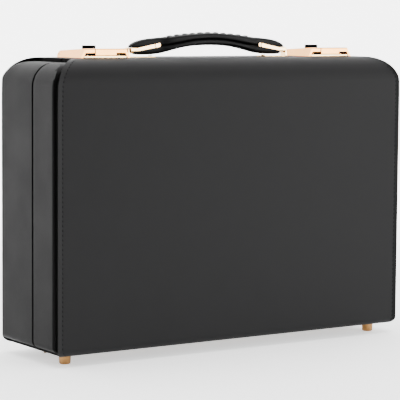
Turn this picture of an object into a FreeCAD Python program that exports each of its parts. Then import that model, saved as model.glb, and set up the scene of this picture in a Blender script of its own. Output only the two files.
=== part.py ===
import FreeCAD, Part
import math
import os
import Sketcher
from FreeCAD import Placement, Rotation, Vector

# A clarinet case that stands on four feet. Its broad faces look along Y, its width runs along X.
# The shallow front half is the lid, hinged along the bottom edge of the deep back half.

# Driving sizes in millimetres: alias, value, what it is
SIZES = [
    ("case_width", 368.0, "over the two side panels"),
    ("case_depth", 101.0, "over the two leather faces"),
    ("case_height", 250.0, "over the wraps, without the feet"),
    ("lid_depth", 40.0, "front face to the middle of the groove between the halves"),
    ("groove_width", 2.0, "open groove between the halves"),
    ("wrap_thickness", 3.3, "leather wrap over face, top and bottom"),
    ("cover_thickness", 2.0, "leather cover of the wooden box"),
    ("wall_thickness", 4.0, "wooden wall"),
    ("layer_gap", 0.2, "glue line between two layers"),
    ("side_corner_radius", 20.8, "upper corners of the side panels, seen from the front"),
    ("side_bottom_radius", 5.5, "lower corners of the side panels"),
    ("side_edge_radius", 2.6, "upright edges of the side panels"),
    ("roll_radius", 21.5, "wrap where the face rolls over to the top"),
    ("roll_bottom_radius", 6.0, "wrap where the face rolls under the case"),
    ("wrap_edge_inset", 2.5, "side panel to the cut edge of the wrap"),
    ("wrap_corner_radius", 25.5, "upper corners of the wrap's cut edge"),
    ("wrap_bottom_corner_radius", 6.0, "lower corners of the wrap's cut edge"),
    ("overrun", 2.0, "how far cuts run past what they cut"),
    ("foot_height", 9.0, "foot under the wrap"),
    ("foot_diameter", 10.8, "foot at the case"),
    ("foot_tip_diameter", 9.8, "foot at the ground"),
    ("foot_edge_radius", 1.2, "rounded lower edge of a foot"),
    ("foot_side_inset", 20.2, "side panel to the centre of a foot under the lid"),
    ("foot_rear_side_inset", 43.0, "side panel to the centre of a foot under the base"),
    ("foot_face_inset", 20.2, "face to the foot's centre"),
    ("foot_stud_diameter", 3.0, "stud of a foot in the wood"),
    ("foot_stud_length", 8.0, "stud of a foot"),
    ("hinge_end_inset", 11.0, "side panel to the end of the hinge"),
    ("hinge_knuckle_count", 11.0, "knuckles of both leaves, an odd number"),
    ("hinge_pin_diameter", 1.5, "hinge pin"),
    ("hinge_barrel_diameter", 3.4, "knuckles of the hinge"),
    ("hinge_leaf_width", 14.0, "hinge axis to the far edge of a leaf"),
    ("hinge_leaf_thickness", 0.9, "sheet of the leaves"),
    ("hinge_drop", 0.5, "hinge axis under the case"),
    ("hinge_screw_count", 7.0, "screws of a leaf"),
    ("knuckle_gap", 0.3, "between two knuckles, and round a foreign knuckle"),
    ("running_clearance", 0.05, "pin in its hole, on the radius"),
    ("hinge_relief", 0.4, "wraps round the hinge barrel"),
    ("screw_head_diameter", 4.0, "domed screw heads"),
    ("screw_head_height", 0.8, "domed screw heads"),
    ("screw_diameter", 2.0, "screw shanks"),
    ("screw_length", 8.0, "screw shanks under the head"),
    ("rim_thickness", 2.0, "closing rim inside the base"),
    ("rim_clearance", 0.4, "rim inside the walls of base and lid"),
    ("rim_reach", 5.0, "rim past the groove into the lid"),
    ("rim_seat", 12.0, "rim behind the groove in the base"),
    ("lining_thickness", 1.2, "plush lining on the lid's walls"),
    ("lining_clearance", 0.3, "soft pieces to their walls"),
    ("pad_thickness", 17.0, "cushion in the lid"),
    ("pad_edge_radius", 4.5, "crowned edge of the cushion"),
    ("insert_setback", 6.0, "groove to the face of the fitted insert"),
    ("recess_wall", 8.0, "between two recesses and round them"),
    ("recess_corner_radius", 8.0, "corners of the recesses"),
    ("joint_recess_width", 52.0, "recesses of the upper and the lower joint"),
    ("joint_recess_depth", 36.0, "recesses of the upper and the lower joint"),
    ("accessory_width", 50.0, "box for reeds and swab"),
    ("accessory_depth", 40.0, "box for reeds and swab"),
    ("bell_recess_length", 118.0, "recess of the bell"),
    ("bell_neck_width", 46.0, "narrow end of the bell's recess"),
    ("bell_recess_depth", 40.0, "recess of the bell"),
    ("small_recess_depth", 30.0, "recesses of barrel and mouthpiece"),
    ("latch_mount_gap", 32.2, "outer end of a handle mount to the middle of a latch"),
    ("hasp_front_depth", 27.0, "face of the lid to the front of the hasp"),
    ("hasp_pivot_depth", 67.4, "face of the lid to the hasp's pivot"),
    ("hasp_pivot_height", 3.2, "case top to the hasp's pivot"),
    ("hasp_foot_width", 49.0, "hasp at its lower edges"),
    ("hasp_top_width", 40.0, "hasp on top"),
    ("hasp_front_height", 8.3, "case top to the hasp's top at its front"),
    ("hasp_rear_height", 5.9, "case top to the hasp's top at its rear"),
    ("hasp_sheet", 1.0, "sheet of the hasp"),
    ("hasp_floor_gap", 0.3, "lower edges of the hasp over the case"),
    ("hasp_corner_radius", 1.2, "front upper edge of the hasp"),
    ("hasp_opening_height", 4.5, "case top to the upper edge of the front openings"),
    ("hasp_leg_width", 2.5, "slanted leg beside a front opening"),
    ("tongue_width", 20.6, "tongue in the hasp's front"),
    ("tongue_proud", 0.7, "tongue before the hasp's front"),
    ("tongue_gap", 0.3, "tongue over the striker"),
    ("hasp_pin_diameter", 1.6, "pivot pin of the hasp"),
    ("button_depth", 56.0, "face of the lid to the button"),
    ("button_diameter", 12.0, "push button"),
    ("button_clearance", 0.3, "button in its hole"),
    ("button_rise", 2.3, "button over the hasp"),
    ("button_length", 5.2, "whole button"),
    ("button_edge_radius", 0.8, "upper edge of the button"),
    ("striker_side_gap", 3.5, "outside of the hasp to the striker's end"),
    ("striker_thickness", 2.2, "striker bar on the lid"),
    ("striker_front_depth", 27.4, "face of the lid to the striker's front"),
    ("striker_setback", 0.6, "striker to the lid's mouth"),
    ("striker_edge_radius", 0.7, "upper edges of the striker"),
    ("latch_plate_side_gap", 6.5, "outside of the hasp to the latch plate's end"),
    ("latch_plate_thickness", 1.0, "latch plate under the hasp"),
    ("latch_plate_setback", 1.0, "latch plate to the mouth of the base"),
    ("latch_ear_thickness", 1.4, "ears that hold the hasp's pin"),
    ("latch_ear_radius", 1.4, "ears round the hasp's pin"),
    ("latch_ear_reach", 7.5, "ears in front of the pin"),
    ("latch_plate_pin_gap", 3.2, "rear edge of the latch plate to the pin"),
    ("handle_pivot_height", 6.0, "case top to the handle's pivot"),
    ("loop_reach", 83.2, "middle of the case to the outside of a loop"),
    ("loop_wall", 1.2, "cross wall of a loop"),
    ("loop_arm_thickness", 1.0, "arms of a loop"),
    ("loop_half_width", 5.0, "middle of a loop to the outside of an arm"),
    ("loop_tip_reach", 53.0, "middle of the case to the arms' tips"),
    ("loop_tip_height", 12.7, "case top to the upper corner of the tips"),
    ("loop_arm_height", 3.4, "height of the arms"),
    ("loop_wall_rise", 2.1, "cross wall over the pivot"),
    ("loop_wall_drop", 2.6, "cross wall under the pivot"),
    ("loop_arm_drop", 0.6, "arms under the pivot where they leave the wall"),
    ("loop_heel", 6.5, "outside of a loop to the bend of its arms"),
    ("loop_corner_radius", 2.3, "lower corners of the cross wall"),
    ("pivot_diameter", 2.4, "pivot pin of the handle"),
    ("pivot_head_diameter", 4.4, "outer head of the pivot pin"),
    ("pivot_head_height", 1.4, "outer head of the pivot pin"),
    ("pivot_collar_diameter", 3.8, "inner collar of the pivot pin"),
    ("pivot_collar_height", 0.7, "inner collar of the pivot pin"),
    ("pivot_side_gap", 0.4, "loop to the ear, and to the collar"),
    ("mount_plate_thickness", 0.8, "foot plate of a handle mount"),
    ("mount_plate_width", 11.0, "foot plate of a handle mount"),
    ("mount_inner_reach", 57.0, "middle of the case to the plate's inner end"),
    ("mount_overhang", 2.6, "plate past the ear"),
    ("mount_ear_thickness", 1.6, "ear of a handle mount"),
    ("mount_ear_width", 9.2, "ear at the plate"),
    ("mount_ear_head", 2.6, "ear over and beside the pivot"),
    ("grip_reach", 82.5, "middle of the case to the tip of the upper grip"),
    ("grip_lower_reach", 79.5, "middle of the case to the end of the lower grip"),
    ("grip_crown", 21.7, "case top to the highest point of the grip"),
    ("grip_width", 14.0, "grip in its middle"),
    ("grip_shoulder_gap", 1.4, "shoulder of the grip to the arms' tips"),
    ("grip_seam", 0.3, "between the two layers of the grip"),
    ("grip_rivet_diameter", 2.2, "rivets through arms and grip"),
    ("grip_rivet_head", 3.6, "heads of these rivets"),
    ("grip_rivet_head_height", 0.7, "heads of these rivets"),
    ("grip_rivet_inset", 4.0, "arms' tips to the rivets"),
]

# Half of the grip as shares: station of its reach, even up to the shoulder before the arms;
# top, seam and underside of grip_crown; half width of half the grip_width
UPPER_GRIP_SHARES = [
    (0.000, 1.000, 0.737, 1.00),
    (0.180, 0.965, 0.712, 1.00),
    (0.350, 0.922, 0.608, 1.00),
    (0.500, 0.845, 0.512, 0.93),
    (0.570, 0.815, 0.482, 0.78),
    (0.625, 0.797, 0.465, 0.53),
    (0.720, 0.772, 0.438, 0.53),
    (0.820, 0.735, 0.415, 0.53),
    (0.905, 0.665, 0.402, 0.53),
    (0.960, 0.575, 0.400, 0.50),
    (1.000, 0.455, 0.400, 0.40),
]
LOWER_GRIP_SHARES = [
    (0.000, 0.737, 0.479, 1.00),
    (0.190, 0.712, 0.460, 1.00),
    (0.360, 0.608, 0.390, 0.97),
    (0.520, 0.512, 0.280, 0.85),
    (0.600, 0.482, 0.205, 0.72),
    (0.650, 0.463, 0.175, 0.53),
    (0.750, 0.436, 0.135, 0.53),
    (0.880, 0.405, 0.112, 0.53),
    (1.000, 0.392, 0.120, 0.45),
]
UPPER_SHOULDER_SHARE = 0.625
LOWER_SHOULDER_SHARE = 0.65
GRIP_CORNER_SHARE = 0.62
SCREW_DOME_SHARE = 0.8
EAR_CORNER_SHARE = 0.8
NEAR_SHARE = 0.25
HALF_SHARE = 0.5
BELL_NECK_START_SHARE = 0.62
MOUTHPIECE_ROW_SHARE = 0.52
EDGE_STATIONS = 9


class Size:
    # A length together with the sheet formula that gives it
    def __init__(self, value, formula):
        self.value = value
        self.formula = formula

    def __add__(self, other):
        other = as_size(other)
        return Size(self.value + other.value, "(%s + %s)" % (self.formula, other.formula))

    def __sub__(self, other):
        other = as_size(other)
        return Size(self.value - other.value, "(%s - %s)" % (self.formula, other.formula))

    def __mul__(self, share):
        share = as_size(share)
        return Size(self.value * share.value, "(%s * %s)" % (self.formula, share.formula))

    def __truediv__(self, share):
        share = as_size(share)
        return Size(self.value / share.value, "(%s / %s)" % (self.formula, share.formula))

    def __neg__(self):
        return Size(-self.value, "(-1 * %s)" % self.formula)


def as_size(number):
    if isinstance(number, Size):
        return number
    return Size(float(number), repr(number))


class Sizes:
    pass


doc = FreeCAD.newDocument("clarinet_case")
sheet = doc.addObject("Spreadsheet::Sheet", "Sizes")
size = Sizes()
for row, (alias, number, meaning) in enumerate(SIZES, start=1):
    sheet.set("A%d" % row, alias)
    sheet.set("B%d" % row, str(number))
    sheet.set("C%d" % row, meaning)
    sheet.setAlias("B%d" % row, alias)
    setattr(size, alias, Size(number, "Sizes." + alias))
doc.recompute()

nodes = []


def keep(feature):
    # Marks an object as one of the case's pieces
    nodes.append(feature)
    return feature


def half(length):
    return length * HALF_SHARE


def shrunk(radius, inset):
    # Radius of a corner that lies an inset further in, sharp once the inset has used it up
    left = radius - inset
    if left.value <= size.layer_gap.value:
        return 0
    return left


# Levels and planes that all pieces share
front_face = -half(size.case_depth)
back_face = half(size.case_depth)
case_bottom = size.foot_height
case_top = size.foot_height + size.case_height
split = front_face + size.lid_depth
lid_mouth = split - half(size.groove_width)
base_mouth = split + half(size.groove_width)
step_one = size.wrap_thickness + size.layer_gap
wood_inset = size.cover_thickness + size.layer_gap
room_inset = wood_inset + size.wall_thickness


# Sketches and solid features

def plane_of(body, role):
    for feature in body.Origin.OriginFeatures:
        if feature.Role == role:
            return feature
    raise ValueError("no plane " + role)


def new_body(label):
    body = doc.addObject("PartDesign::Body", label)
    body.Label = label
    return body


def sketch_at(body, role, level, name):
    # The sketch lies across the plane's row axis at the given level; XZ sketches look along -Y
    sketch = body.newObject("Sketcher::SketchObject", name)
    sketch.AttachmentSupport = [(plane_of(body, role), "")]
    sketch.MapMode = "FlatFace"
    level = as_size(level)
    if role == "XZ_Plane":
        level = -level
    sketch.setExpression("AttachmentOffset.Base.z", level.formula)
    return sketch


def fix_point(sketch, constraints, formulas, geometry, place, x, y):
    x = as_size(x)
    y = as_size(y)
    for kind, axis, part in (("DistanceX", -2, x), ("DistanceY", -1, y)):
        if part.value == 0:
            constraints.append(Sketcher.Constraint("PointOnObject", geometry, place, axis))
            formulas.append(None)
        else:
            constraints.append(Sketcher.Constraint(kind, -1, 1, geometry, place, part.value))
            formulas.append(part.formula)


def draw_circle(sketch, x, y, radius):
    centre = Vector(as_size(x).value, as_size(y).value, 0)
    circle = Part.Circle(centre, Vector(0, 0, 1), radius.value)
    index = sketch.addGeometry(circle, False)
    constraints = []
    formulas = []
    fix_point(sketch, constraints, formulas, index, 3, x, y)
    constraints.append(Sketcher.Constraint("Radius", index, radius.value))
    formulas.append(radius.formula)
    add_bound(sketch, constraints, formulas)


def add_bound(sketch, constraints, formulas):
    first = sketch.ConstraintCount
    sketch.addConstraint(constraints)
    for place, formula in enumerate(formulas):
        if formula is not None:
            sketch.setExpression("Constraints[%d]" % (first + place), formula)


def draw_outline(sketch, corners):
    # A closed outline, counterclockwise, of corners (x, y, radius)
    count = len(corners)
    points = []
    radii = []
    for x, y, radius in corners:
        points.append(Vector(as_size(x).value, as_size(y).value, 0))
        radii.append(as_size(radius).value)
    arrive = []
    leave = []
    centres = []
    for place in range(count):
        here = points[place]
        backward = (points[place - 1] - here).normalize()
        forward = (points[(place + 1) % count] - here).normalize()
        opening = backward.getAngle(forward)
        reach = radii[place] / math.tan(opening / 2)
        arrive.append(here + backward * reach)
        leave.append(here + forward * reach)
        if radii[place] > 0:
            inward = (backward + forward).normalize()
            centres.append(here + inward * (radii[place] / math.sin(opening / 2)))
        else:
            centres.append(None)
    first = sketch.GeometryCount
    geometry = []
    for place in range(count):
        geometry.append(Part.LineSegment(leave[place], arrive[(place + 1) % count]))
    constraints = []
    formulas = []
    helpers = []
    for place in range(count):
        before = first + (place - 1) % count
        after = first + place
        if centres[place] is None:
            constraints.append(Sketcher.Constraint("Coincident", before, 2, after, 1))
            formulas.append(None)
            fix_point(sketch, constraints, formulas, after, 1, corners[place][0], corners[place][1])
            continue
        start = arrive[place] - centres[place]
        end = leave[place] - centres[place]
        turns_left = start.cross(end).z > 0
        start_place, end_place = (1, 2) if turns_left else (2, 1)
        if not turns_left:
            start, end = end, start
        circle = Part.Circle(centres[place], Vector(0, 0, 1), radii[place])
        arc = Part.ArcOfCircle(circle, math.atan2(start.y, start.x), math.atan2(end.y, end.x))
        index = first + len(geometry)
        geometry.append(arc)
        constraints.append(Sketcher.Constraint("Tangent", before, 2, index, start_place))
        constraints.append(Sketcher.Constraint("Tangent", index, end_place, after, 1))
        constraints.append(Sketcher.Constraint("Radius", index, radii[place]))
        formulas.extend([None, None, as_size(corners[place][2]).formula])
        helpers.append((place, before, after))
    for place, before, after in helpers:
        index = first + len(geometry)
        geometry.append(Part.Point(points[place]))
        constraints.append(Sketcher.Constraint("PointOnObject", index, 1, before))
        constraints.append(Sketcher.Constraint("PointOnObject", index, 1, after))
        formulas.extend([None, None])
        fix_point(sketch, constraints, formulas, index, 1, corners[place][0], corners[place][1])
    solid_count = len(geometry) - len(helpers)
    sketch.addGeometry(geometry[:solid_count], False)
    if helpers:
        sketch.addGeometry(geometry[solid_count:], True)
    add_bound(sketch, constraints, formulas)


def draw(sketch, shapes):
    for shape in shapes:
        if isinstance(shape, tuple):
            draw_circle(sketch, *shape)
        else:
            draw_outline(sketch, shape)


def box_outline(x0, x1, y0, y1, radius=0):
    return [(x0, y0, radius), (x1, y0, radius), (x1, y1, radius), (x0, y1, radius)]


def pad(body, role, shapes, low, high, name):
    # Material between two levels of the axis that the plane stands across
    low = as_size(low)
    high = as_size(high)
    level = high if role == "XZ_Plane" else low
    sketch = sketch_at(body, role, level, name + "_outline")
    draw(sketch, shapes)
    feature = body.newObject("PartDesign::Pad", name)
    feature.Profile = sketch
    feature.setExpression("Length", (high - low).formula)
    doc.recompute()
    body.Tip = feature
    return feature


def cut(body, role, shapes, low, high, name):
    # Takes material away between two levels, and makes sure that some went
    low = as_size(low)
    high = as_size(high)
    before = body.Tip.Shape.Volume
    level = low if role == "XZ_Plane" else high
    sketch = sketch_at(body, role, level, name + "_outline")
    draw(sketch, shapes)
    feature = body.newObject("PartDesign::Pocket", name)
    feature.Profile = sketch
    feature.setExpression("Length", (high - low).formula)
    doc.recompute()
    body.Tip = feature
    if not feature.Shape.Volume < before:
        raise ValueError(name + " of " + body.Label + " cuts nothing")
    return feature


def trim(body, role, outline, reach, low, high, name):
    # Takes away all that lies outside the outline, out to a frame that the reach gives
    x0, x1, y0, y1 = reach
    return cut(body, role, [box_outline(x0, x1, y0, y1), outline], low, high, name)


def round_edges(body, radius, chosen, name):
    base = body.Tip
    names = []
    for number, edge in enumerate(base.Shape.Edges, start=1):
        if chosen(edge):
            names.append("Edge%d" % number)
    if not names:
        raise ValueError(name + " of " + body.Label + " finds no edge")
    feature = body.newObject("PartDesign::Fillet", name)
    feature.Base = (base, names)
    feature.setExpression("Radius", as_size(radius).formula)
    doc.recompute()
    if not feature.Shape.Volume < base.Shape.Volume:
        raise ValueError(name + " of " + body.Label + " rounds nothing")
    body.Tip = feature
    return feature


def lies_at(edge, axis, level):
    # True for an edge that lies whole in the plane at that level of the axis
    box = edge.BoundBox
    low, high = ((box.XMin, box.XMax), (box.YMin, box.YMax), (box.ZMin, box.ZMax))[axis]
    near = size.layer_gap.value * NEAR_SHARE
    return abs(low - level.value) < near and abs(high - level.value) < near


def subtract(label, whole, tool):
    feature = doc.addObject("Part::Cut", label)
    feature.Label = label
    feature.Base = whole
    feature.Tool = tool
    doc.recompute()
    return keep(feature)


def copies(label, original, placements):
    # One node of several separate solids, each a copy of the original
    shapes = []
    for place, rotation in placements:
        shape = original.Shape.copy()
        shape.Placement = Placement(place, rotation).multiply(shape.Placement)
        shapes.append(shape)
    feature = doc.addObject("Part::Feature", label)
    feature.Label = label
    feature.Shape = Part.makeCompound(shapes)
    return keep(feature)


# The box, its leather cover and the two wraps

def case_form(label, side, inset, mouth, edge_radius=0):
    # The form of one half, an inset inside its cover: side is -1 for the lid and 1 for the base
    inset = as_size(inset)
    body = new_body(label)
    side_x = half(size.case_width) - inset
    low = case_bottom + step_one + inset
    high = case_top - step_one - inset
    face = (back_face - step_one - inset) if side > 0 else (front_face + step_one + inset)
    near, far = (mouth, face) if side > 0 else (face, mouth)
    over = size.overrun
    low_radius = shrunk(size.side_bottom_radius, inset)
    high_radius = shrunk(size.side_corner_radius, inset)
    outline = [
        (-side_x, low, low_radius),
        (side_x, low, low_radius),
        (side_x, high, high_radius),
        (-side_x, high, high_radius),
    ]
    pad(body, "XZ_Plane", [outline], near, far, "block")
    roll = shrunk(size.roll_radius, step_one + inset)
    roll_under = shrunk(size.roll_bottom_radius, step_one + inset)
    if side > 0:
        profile = [
            (near - over, low, 0),
            (far, low, roll_under),
            (far, high, roll),
            (near - over, high, 0),
        ]
    else:
        profile = [
            (near, low, roll_under),
            (far + over, low, 0),
            (far + over, high, 0),
            (near, high, roll),
        ]
    reach = (near - over - over, far + over + over, low - over, high + over)
    trim(body, "YZ_Plane", profile, reach, -side_x - over, side_x + over, "rolls")
    if edge_radius:
        if side > 0:
            plan = [
                (-side_x, near - over, 0),
                (side_x, near - over, 0),
                (side_x, far, edge_radius),
                (-side_x, far, edge_radius),
            ]
        else:
            plan = [
                (-side_x, near, edge_radius),
                (side_x, near, edge_radius),
                (side_x, far + over, 0),
                (-side_x, far + over, 0),
            ]
        reach = (-side_x - over, side_x + over, near - over - over, far + over + over)
        trim(body, "XY_Plane", plan, reach, low - over, high + over, "upright_edges")
    return body


def past_mouth(side, mouth):
    return mouth - size.overrun if side > 0 else mouth + size.overrun


def make_box(name, side, mouth):
    cover = case_form(name + "_cover_form", side, 0, mouth, size.side_edge_radius)
    core = case_form(name + "_cover_hollow", side, size.cover_thickness, past_mouth(side, mouth))
    subtract(name + "_cover", cover, core)
    wood = case_form(name + "_shell_form", side, wood_inset, mouth)
    room = case_form(name + "_shell_hollow", side, room_inset, past_mouth(side, mouth))
    subtract(name + "_shell", wood, room)


make_box("lid", -1, lid_mouth)
make_box("base", 1, base_mouth)

hinge_y = split
hinge_z = case_bottom - size.hinge_drop
barrel_radius = half(size.hinge_barrel_diameter)


def wrap_band(side, mouth):
    # The wrap's section in the YZ plane, drawn along X over its full width
    thick = size.wrap_thickness.value
    face = side * half(size.case_depth).value
    top = case_top.value
    bottom = case_bottom.value
    roll = size.roll_radius.value
    under = size.roll_bottom_radius.value
    end = (half(size.case_width) - size.wrap_edge_inset).value
    slant = math.sqrt(HALF_SHARE)

    def at(depth, level):
        return Vector(-end, face - side * depth, level)

    def arc(radius, depth, level, up, reverse):
        # Quarter turn round a centre, from the face to the flat or back
        low = at(depth - radius, level)
        middle = at(depth - radius * slant, level + up * radius * slant)
        high = at(depth, level + up * radius)
        points = (high, middle, low) if reverse else (low, middle, high)
        return Part.Arc(*points).toShape()

    mouth_depth = (mouth.value - face) * -side
    edges = [
        Part.makeLine(at(mouth_depth, top), at(roll, top)),
        arc(roll, roll, top - roll, 1, True),
        Part.makeLine(at(0, top - roll), at(0, bottom + under)),
        arc(under, under, bottom + under, -1, False),
        Part.makeLine(at(under, bottom), at(mouth_depth, bottom)),
        Part.makeLine(at(mouth_depth, bottom), at(mouth_depth, bottom + thick)),
        Part.makeLine(at(mouth_depth, bottom + thick), at(under, bottom + thick)),
        arc(under - thick, under, bottom + under, -1, True),
        Part.makeLine(at(thick, bottom + under), at(thick, top - roll)),
        arc(roll - thick, roll, top - roll, 1, False),
        Part.makeLine(at(roll, top - thick), at(mouth_depth, top - thick)),
        Part.makeLine(at(mouth_depth, top - thick), at(mouth_depth, top)),
    ]
    section = Part.Face(Part.Wire(edges))
    return section.extrude(Vector(2 * end, 0, 0))


def wrap_edge_tools(side, mouth, end, up, roll, corner):
    # What is cut off one corner of a wrap, so that its cut edge stands square to its surface:
    # end is -1 or 1 along X, up is 1 for the top and -1 for the bottom
    thick = size.wrap_thickness.value
    over = size.overrun.value
    face = side * half(size.case_depth).value
    level = case_top.value if up > 0 else case_bottom.value
    edge_x = (half(size.case_width) - size.wrap_edge_inset).value
    centre_x = edge_x - corner
    away = Vector(end * (corner + over), 0, 0)

    def edge(height):
        # Where the cut edge lies at a height over the centre of its corner
        height = min(height, corner)
        return centre_x + math.sqrt(corner * corner - height * height)

    def at(x, depth, height):
        # height is counted from the start of the corner's arc towards the flat
        return Vector(end * x, face - side * depth, level - up * (corner - height))

    tools = []
    flat = corner - roll
    if flat > over * HALF_SHARE:
        middle = flat / 2
        outer = Part.Arc(at(edge(0), -over, 0), at(edge(middle), -over, middle), at(edge(flat), -over, flat))
        inner_depth = thick + over
        inner = Part.Arc(
            at(edge(0), inner_depth, 0),
            at(edge(middle), inner_depth, middle),
            at(edge(flat), inner_depth, flat),
        )
        tools.append(Part.makeRuledSurface(outer.toShape(), inner.toShape()).extrude(away))
    outer_points = []
    inner_points = []
    inner_radius = (roll - thick) * HALF_SHARE
    for station in range(EDGE_STATIONS):
        angle = math.pi / 2 * station / (EDGE_STATIONS - 1)
        height = flat + roll * math.sin(angle)
        x = edge(max(height, 0.0))
        for points, radius in ((outer_points, roll + over), (inner_points, inner_radius)):
            points.append(at(x, roll - radius * math.cos(angle), flat + radius * math.sin(angle)))
    outer = Part.BSplineCurve()
    outer.interpolate(outer_points)
    inner = Part.BSplineCurve()
    inner.interpolate(inner_points)
    tools.append(Part.makeRuledSurface(outer.toShape(), inner.toShape()).extrude(away))
    mouth_depth = (mouth.value - face) * -side
    outer = Part.makeLine(at(centre_x, roll, corner + over), at(centre_x, mouth_depth + over, corner + over))
    inner_height = flat + inner_radius
    inner = Part.makeLine(at(centre_x, roll, inner_height), at(centre_x, mouth_depth + over, inner_height))
    tools.append(Part.makeRuledSurface(outer, inner).extrude(away))
    return tools


def make_wrap(label, side, mouth):
    shape = wrap_band(side, mouth)
    tools = []
    for end in (-1, 1):
        tools += wrap_edge_tools(
            side, mouth, end, 1, size.roll_radius.value, size.wrap_corner_radius.value
        )
        tools += wrap_edge_tools(
            side, mouth, end, -1, size.roll_bottom_radius.value, size.wrap_bottom_corner_radius.value
        )
    width = size.case_width.value
    relief = (barrel_radius + size.hinge_relief).value
    start = Vector(-width / 2, hinge_y.value, hinge_z.value)
    tools.append(Part.makeCylinder(relief, width, start, Vector(1, 0, 0)))
    shape = shape.cut(tools)
    if len(shape.Solids) != 1:
        raise ValueError(label + " isn't one solid")
    feature = doc.addObject("Part::Feature", label)
    feature.Label = label
    feature.Shape = shape.Solids[0]
    return keep(feature)


make_wrap("lid_wrap", -1, lid_mouth)
make_wrap("base_wrap", 1, base_mouth)


# Screws and feet

def make_screw():
    # Domed head on the plane z = 0, shank downwards
    body = new_body("screw_pattern")
    head = half(size.screw_head_diameter)
    pad(body, "XY_Plane", [(0, 0, head)], 0, size.screw_head_height, "head")
    height = size.screw_head_height
    round_edges(body, height * SCREW_DOME_SHARE, lambda edge: lies_at(edge, 2, height), "dome")
    pad(body, "XY_Plane", [(0, 0, half(size.screw_diameter))], -size.screw_length, 0, "shank")
    return body


def make_foot():
    # Turned foot with the stud that holds it, its tip on the plane z = 0
    body = new_body("foot_pattern")
    sketch = body.newObject("Sketcher::SketchObject", "foot_section")
    sketch.AttachmentSupport = [(plane_of(body, "XZ_Plane"), "")]
    sketch.MapMode = "FlatFace"
    tall = size.foot_height + size.foot_stud_length
    stud = half(size.foot_stud_diameter)
    draw_outline(sketch, [
        (0, 0, 0),
        (half(size.foot_tip_diameter), 0, size.foot_edge_radius),
        (half(size.foot_diameter), size.foot_height, 0),
        (stud, size.foot_height, 0),
        (stud, tall, 0),
        (0, tall, 0),
    ])
    feature = body.newObject("PartDesign::Revolution", "turned")
    feature.Profile = sketch
    feature.ReferenceAxis = (sketch, ["V_Axis"])
    feature.Angle = 360
    doc.recompute()
    return body


screw = make_screw()
foot = make_foot()
upright = Rotation()
head_down = Rotation(Vector(1, 0, 0), 180)

for name, foot_y, side_inset in (
    ("feet_lid", front_face + size.foot_face_inset, size.foot_side_inset),
    ("feet_base", back_face - size.foot_face_inset, size.foot_rear_side_inset),
):
    foot_x = (half(size.case_width) - side_inset).value
    places = [(Vector(end * foot_x, foot_y.value, 0), upright) for end in (-1, 1)]
    copies(name, foot, places)


# Hinge along the bottom

hinge_end = half(size.case_width) - size.hinge_end_inset
knuckle_count = int(size.hinge_knuckle_count.value)
knuckle_pitch = hinge_end * 2 / size.hinge_knuckle_count
screw_count = int(size.hinge_screw_count.value)
screw_pitch = hinge_end * 2 / size.hinge_screw_count
leaf_low = case_bottom - size.hinge_leaf_thickness
shank_radius = half(size.screw_diameter) + size.running_clearance
leaf_clear = barrel_radius + size.knuckle_gap
leaf_screw_offset = half(size.hinge_leaf_width + leaf_clear)


def leaf_screw_places(side):
    places = []
    for number in range(screw_count):
        x = -hinge_end + screw_pitch * (number + HALF_SHARE)
        places.append((x, hinge_y + leaf_screw_offset * side))
    return places


def make_leaf(label, side, owned):
    # Sheet leaf with every other knuckle; owned is 0 or 1, the first knuckle that it holds
    body = new_body(label)
    far = hinge_y + size.hinge_leaf_width * side
    clear = hinge_y + leaf_clear * side
    corners = [(-hinge_end, far, 0), (hinge_end, far, 0)]
    inner = []
    for number in range(knuckle_count):
        start = -hinge_end + knuckle_pitch * number
        end = start + knuckle_pitch
        if number % 2 == owned:
            left = start if number == 0 else start + half(size.knuckle_gap)
            right = end if number == knuckle_count - 1 else end - half(size.knuckle_gap)
            inner.append((left, right))
    comb = []
    for left, right in reversed(inner):
        at_right = right.value > hinge_end.value - size.knuckle_gap.value
        at_left = left.value < -hinge_end.value + size.knuckle_gap.value
        if not at_right:
            comb.append((right, clear, 0))
        comb.append((right, hinge_y, 0))
        comb.append((left, hinge_y, 0))
        if not at_left:
            comb.append((left, clear, 0))
    if owned == 1:
        comb = [(hinge_end, clear, 0)] + comb + [(-hinge_end, clear, 0)]
    outline = corners + comb
    if side > 0:
        outline = list(reversed(outline))
    pad(body, "XY_Plane", [outline], leaf_low, case_bottom, "sheet")
    for place, (left, right) in enumerate(inner):
        pad(body, "YZ_Plane", [(hinge_y, hinge_z, barrel_radius)], left, right, "knuckle_%d" % place)
    bore = half(size.hinge_pin_diameter) + size.running_clearance
    over = size.overrun
    cut(body, "YZ_Plane", [(hinge_y, hinge_z, bore)], -hinge_end - over, hinge_end + over, "bore")
    holes = [(x, y, shank_radius) for x, y in leaf_screw_places(side)]
    cut(body, "XY_Plane", holes, leaf_low - over, case_bottom + over, "screw_holes")
    keep(body)
    places = [(Vector(x.value, y.value, leaf_low.value), head_down) for x, y in leaf_screw_places(side)]
    return places


copies("hinge_screws_lid", screw, make_leaf("hinge_leaf_lid", -1, 1))
copies("hinge_screws_base", screw, make_leaf("hinge_leaf_base", 1, 0))

pin_body = new_body("hinge_pin")
pin_outline = [(hinge_y, hinge_z, half(size.hinge_pin_diameter))]
pad(pin_body, "YZ_Plane", pin_outline, -hinge_end, hinge_end, "pin")
keep(pin_body)


# Closing rim, lining, cushion and fitted insert

rim_outer = room_inset + size.rim_clearance
rim_front = split - size.rim_reach
rim_back = split + size.rim_seat


def ring_outline(inset):
    side_x = half(size.case_width) - inset
    low = case_bottom + step_one + inset
    high = case_top - step_one - inset
    low_radius = shrunk(size.side_bottom_radius, inset)
    high_radius = shrunk(size.side_corner_radius, inset)
    return [
        (-side_x, low, low_radius),
        (side_x, low, low_radius),
        (side_x, high, high_radius),
        (-side_x, high, high_radius),
    ]


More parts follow.
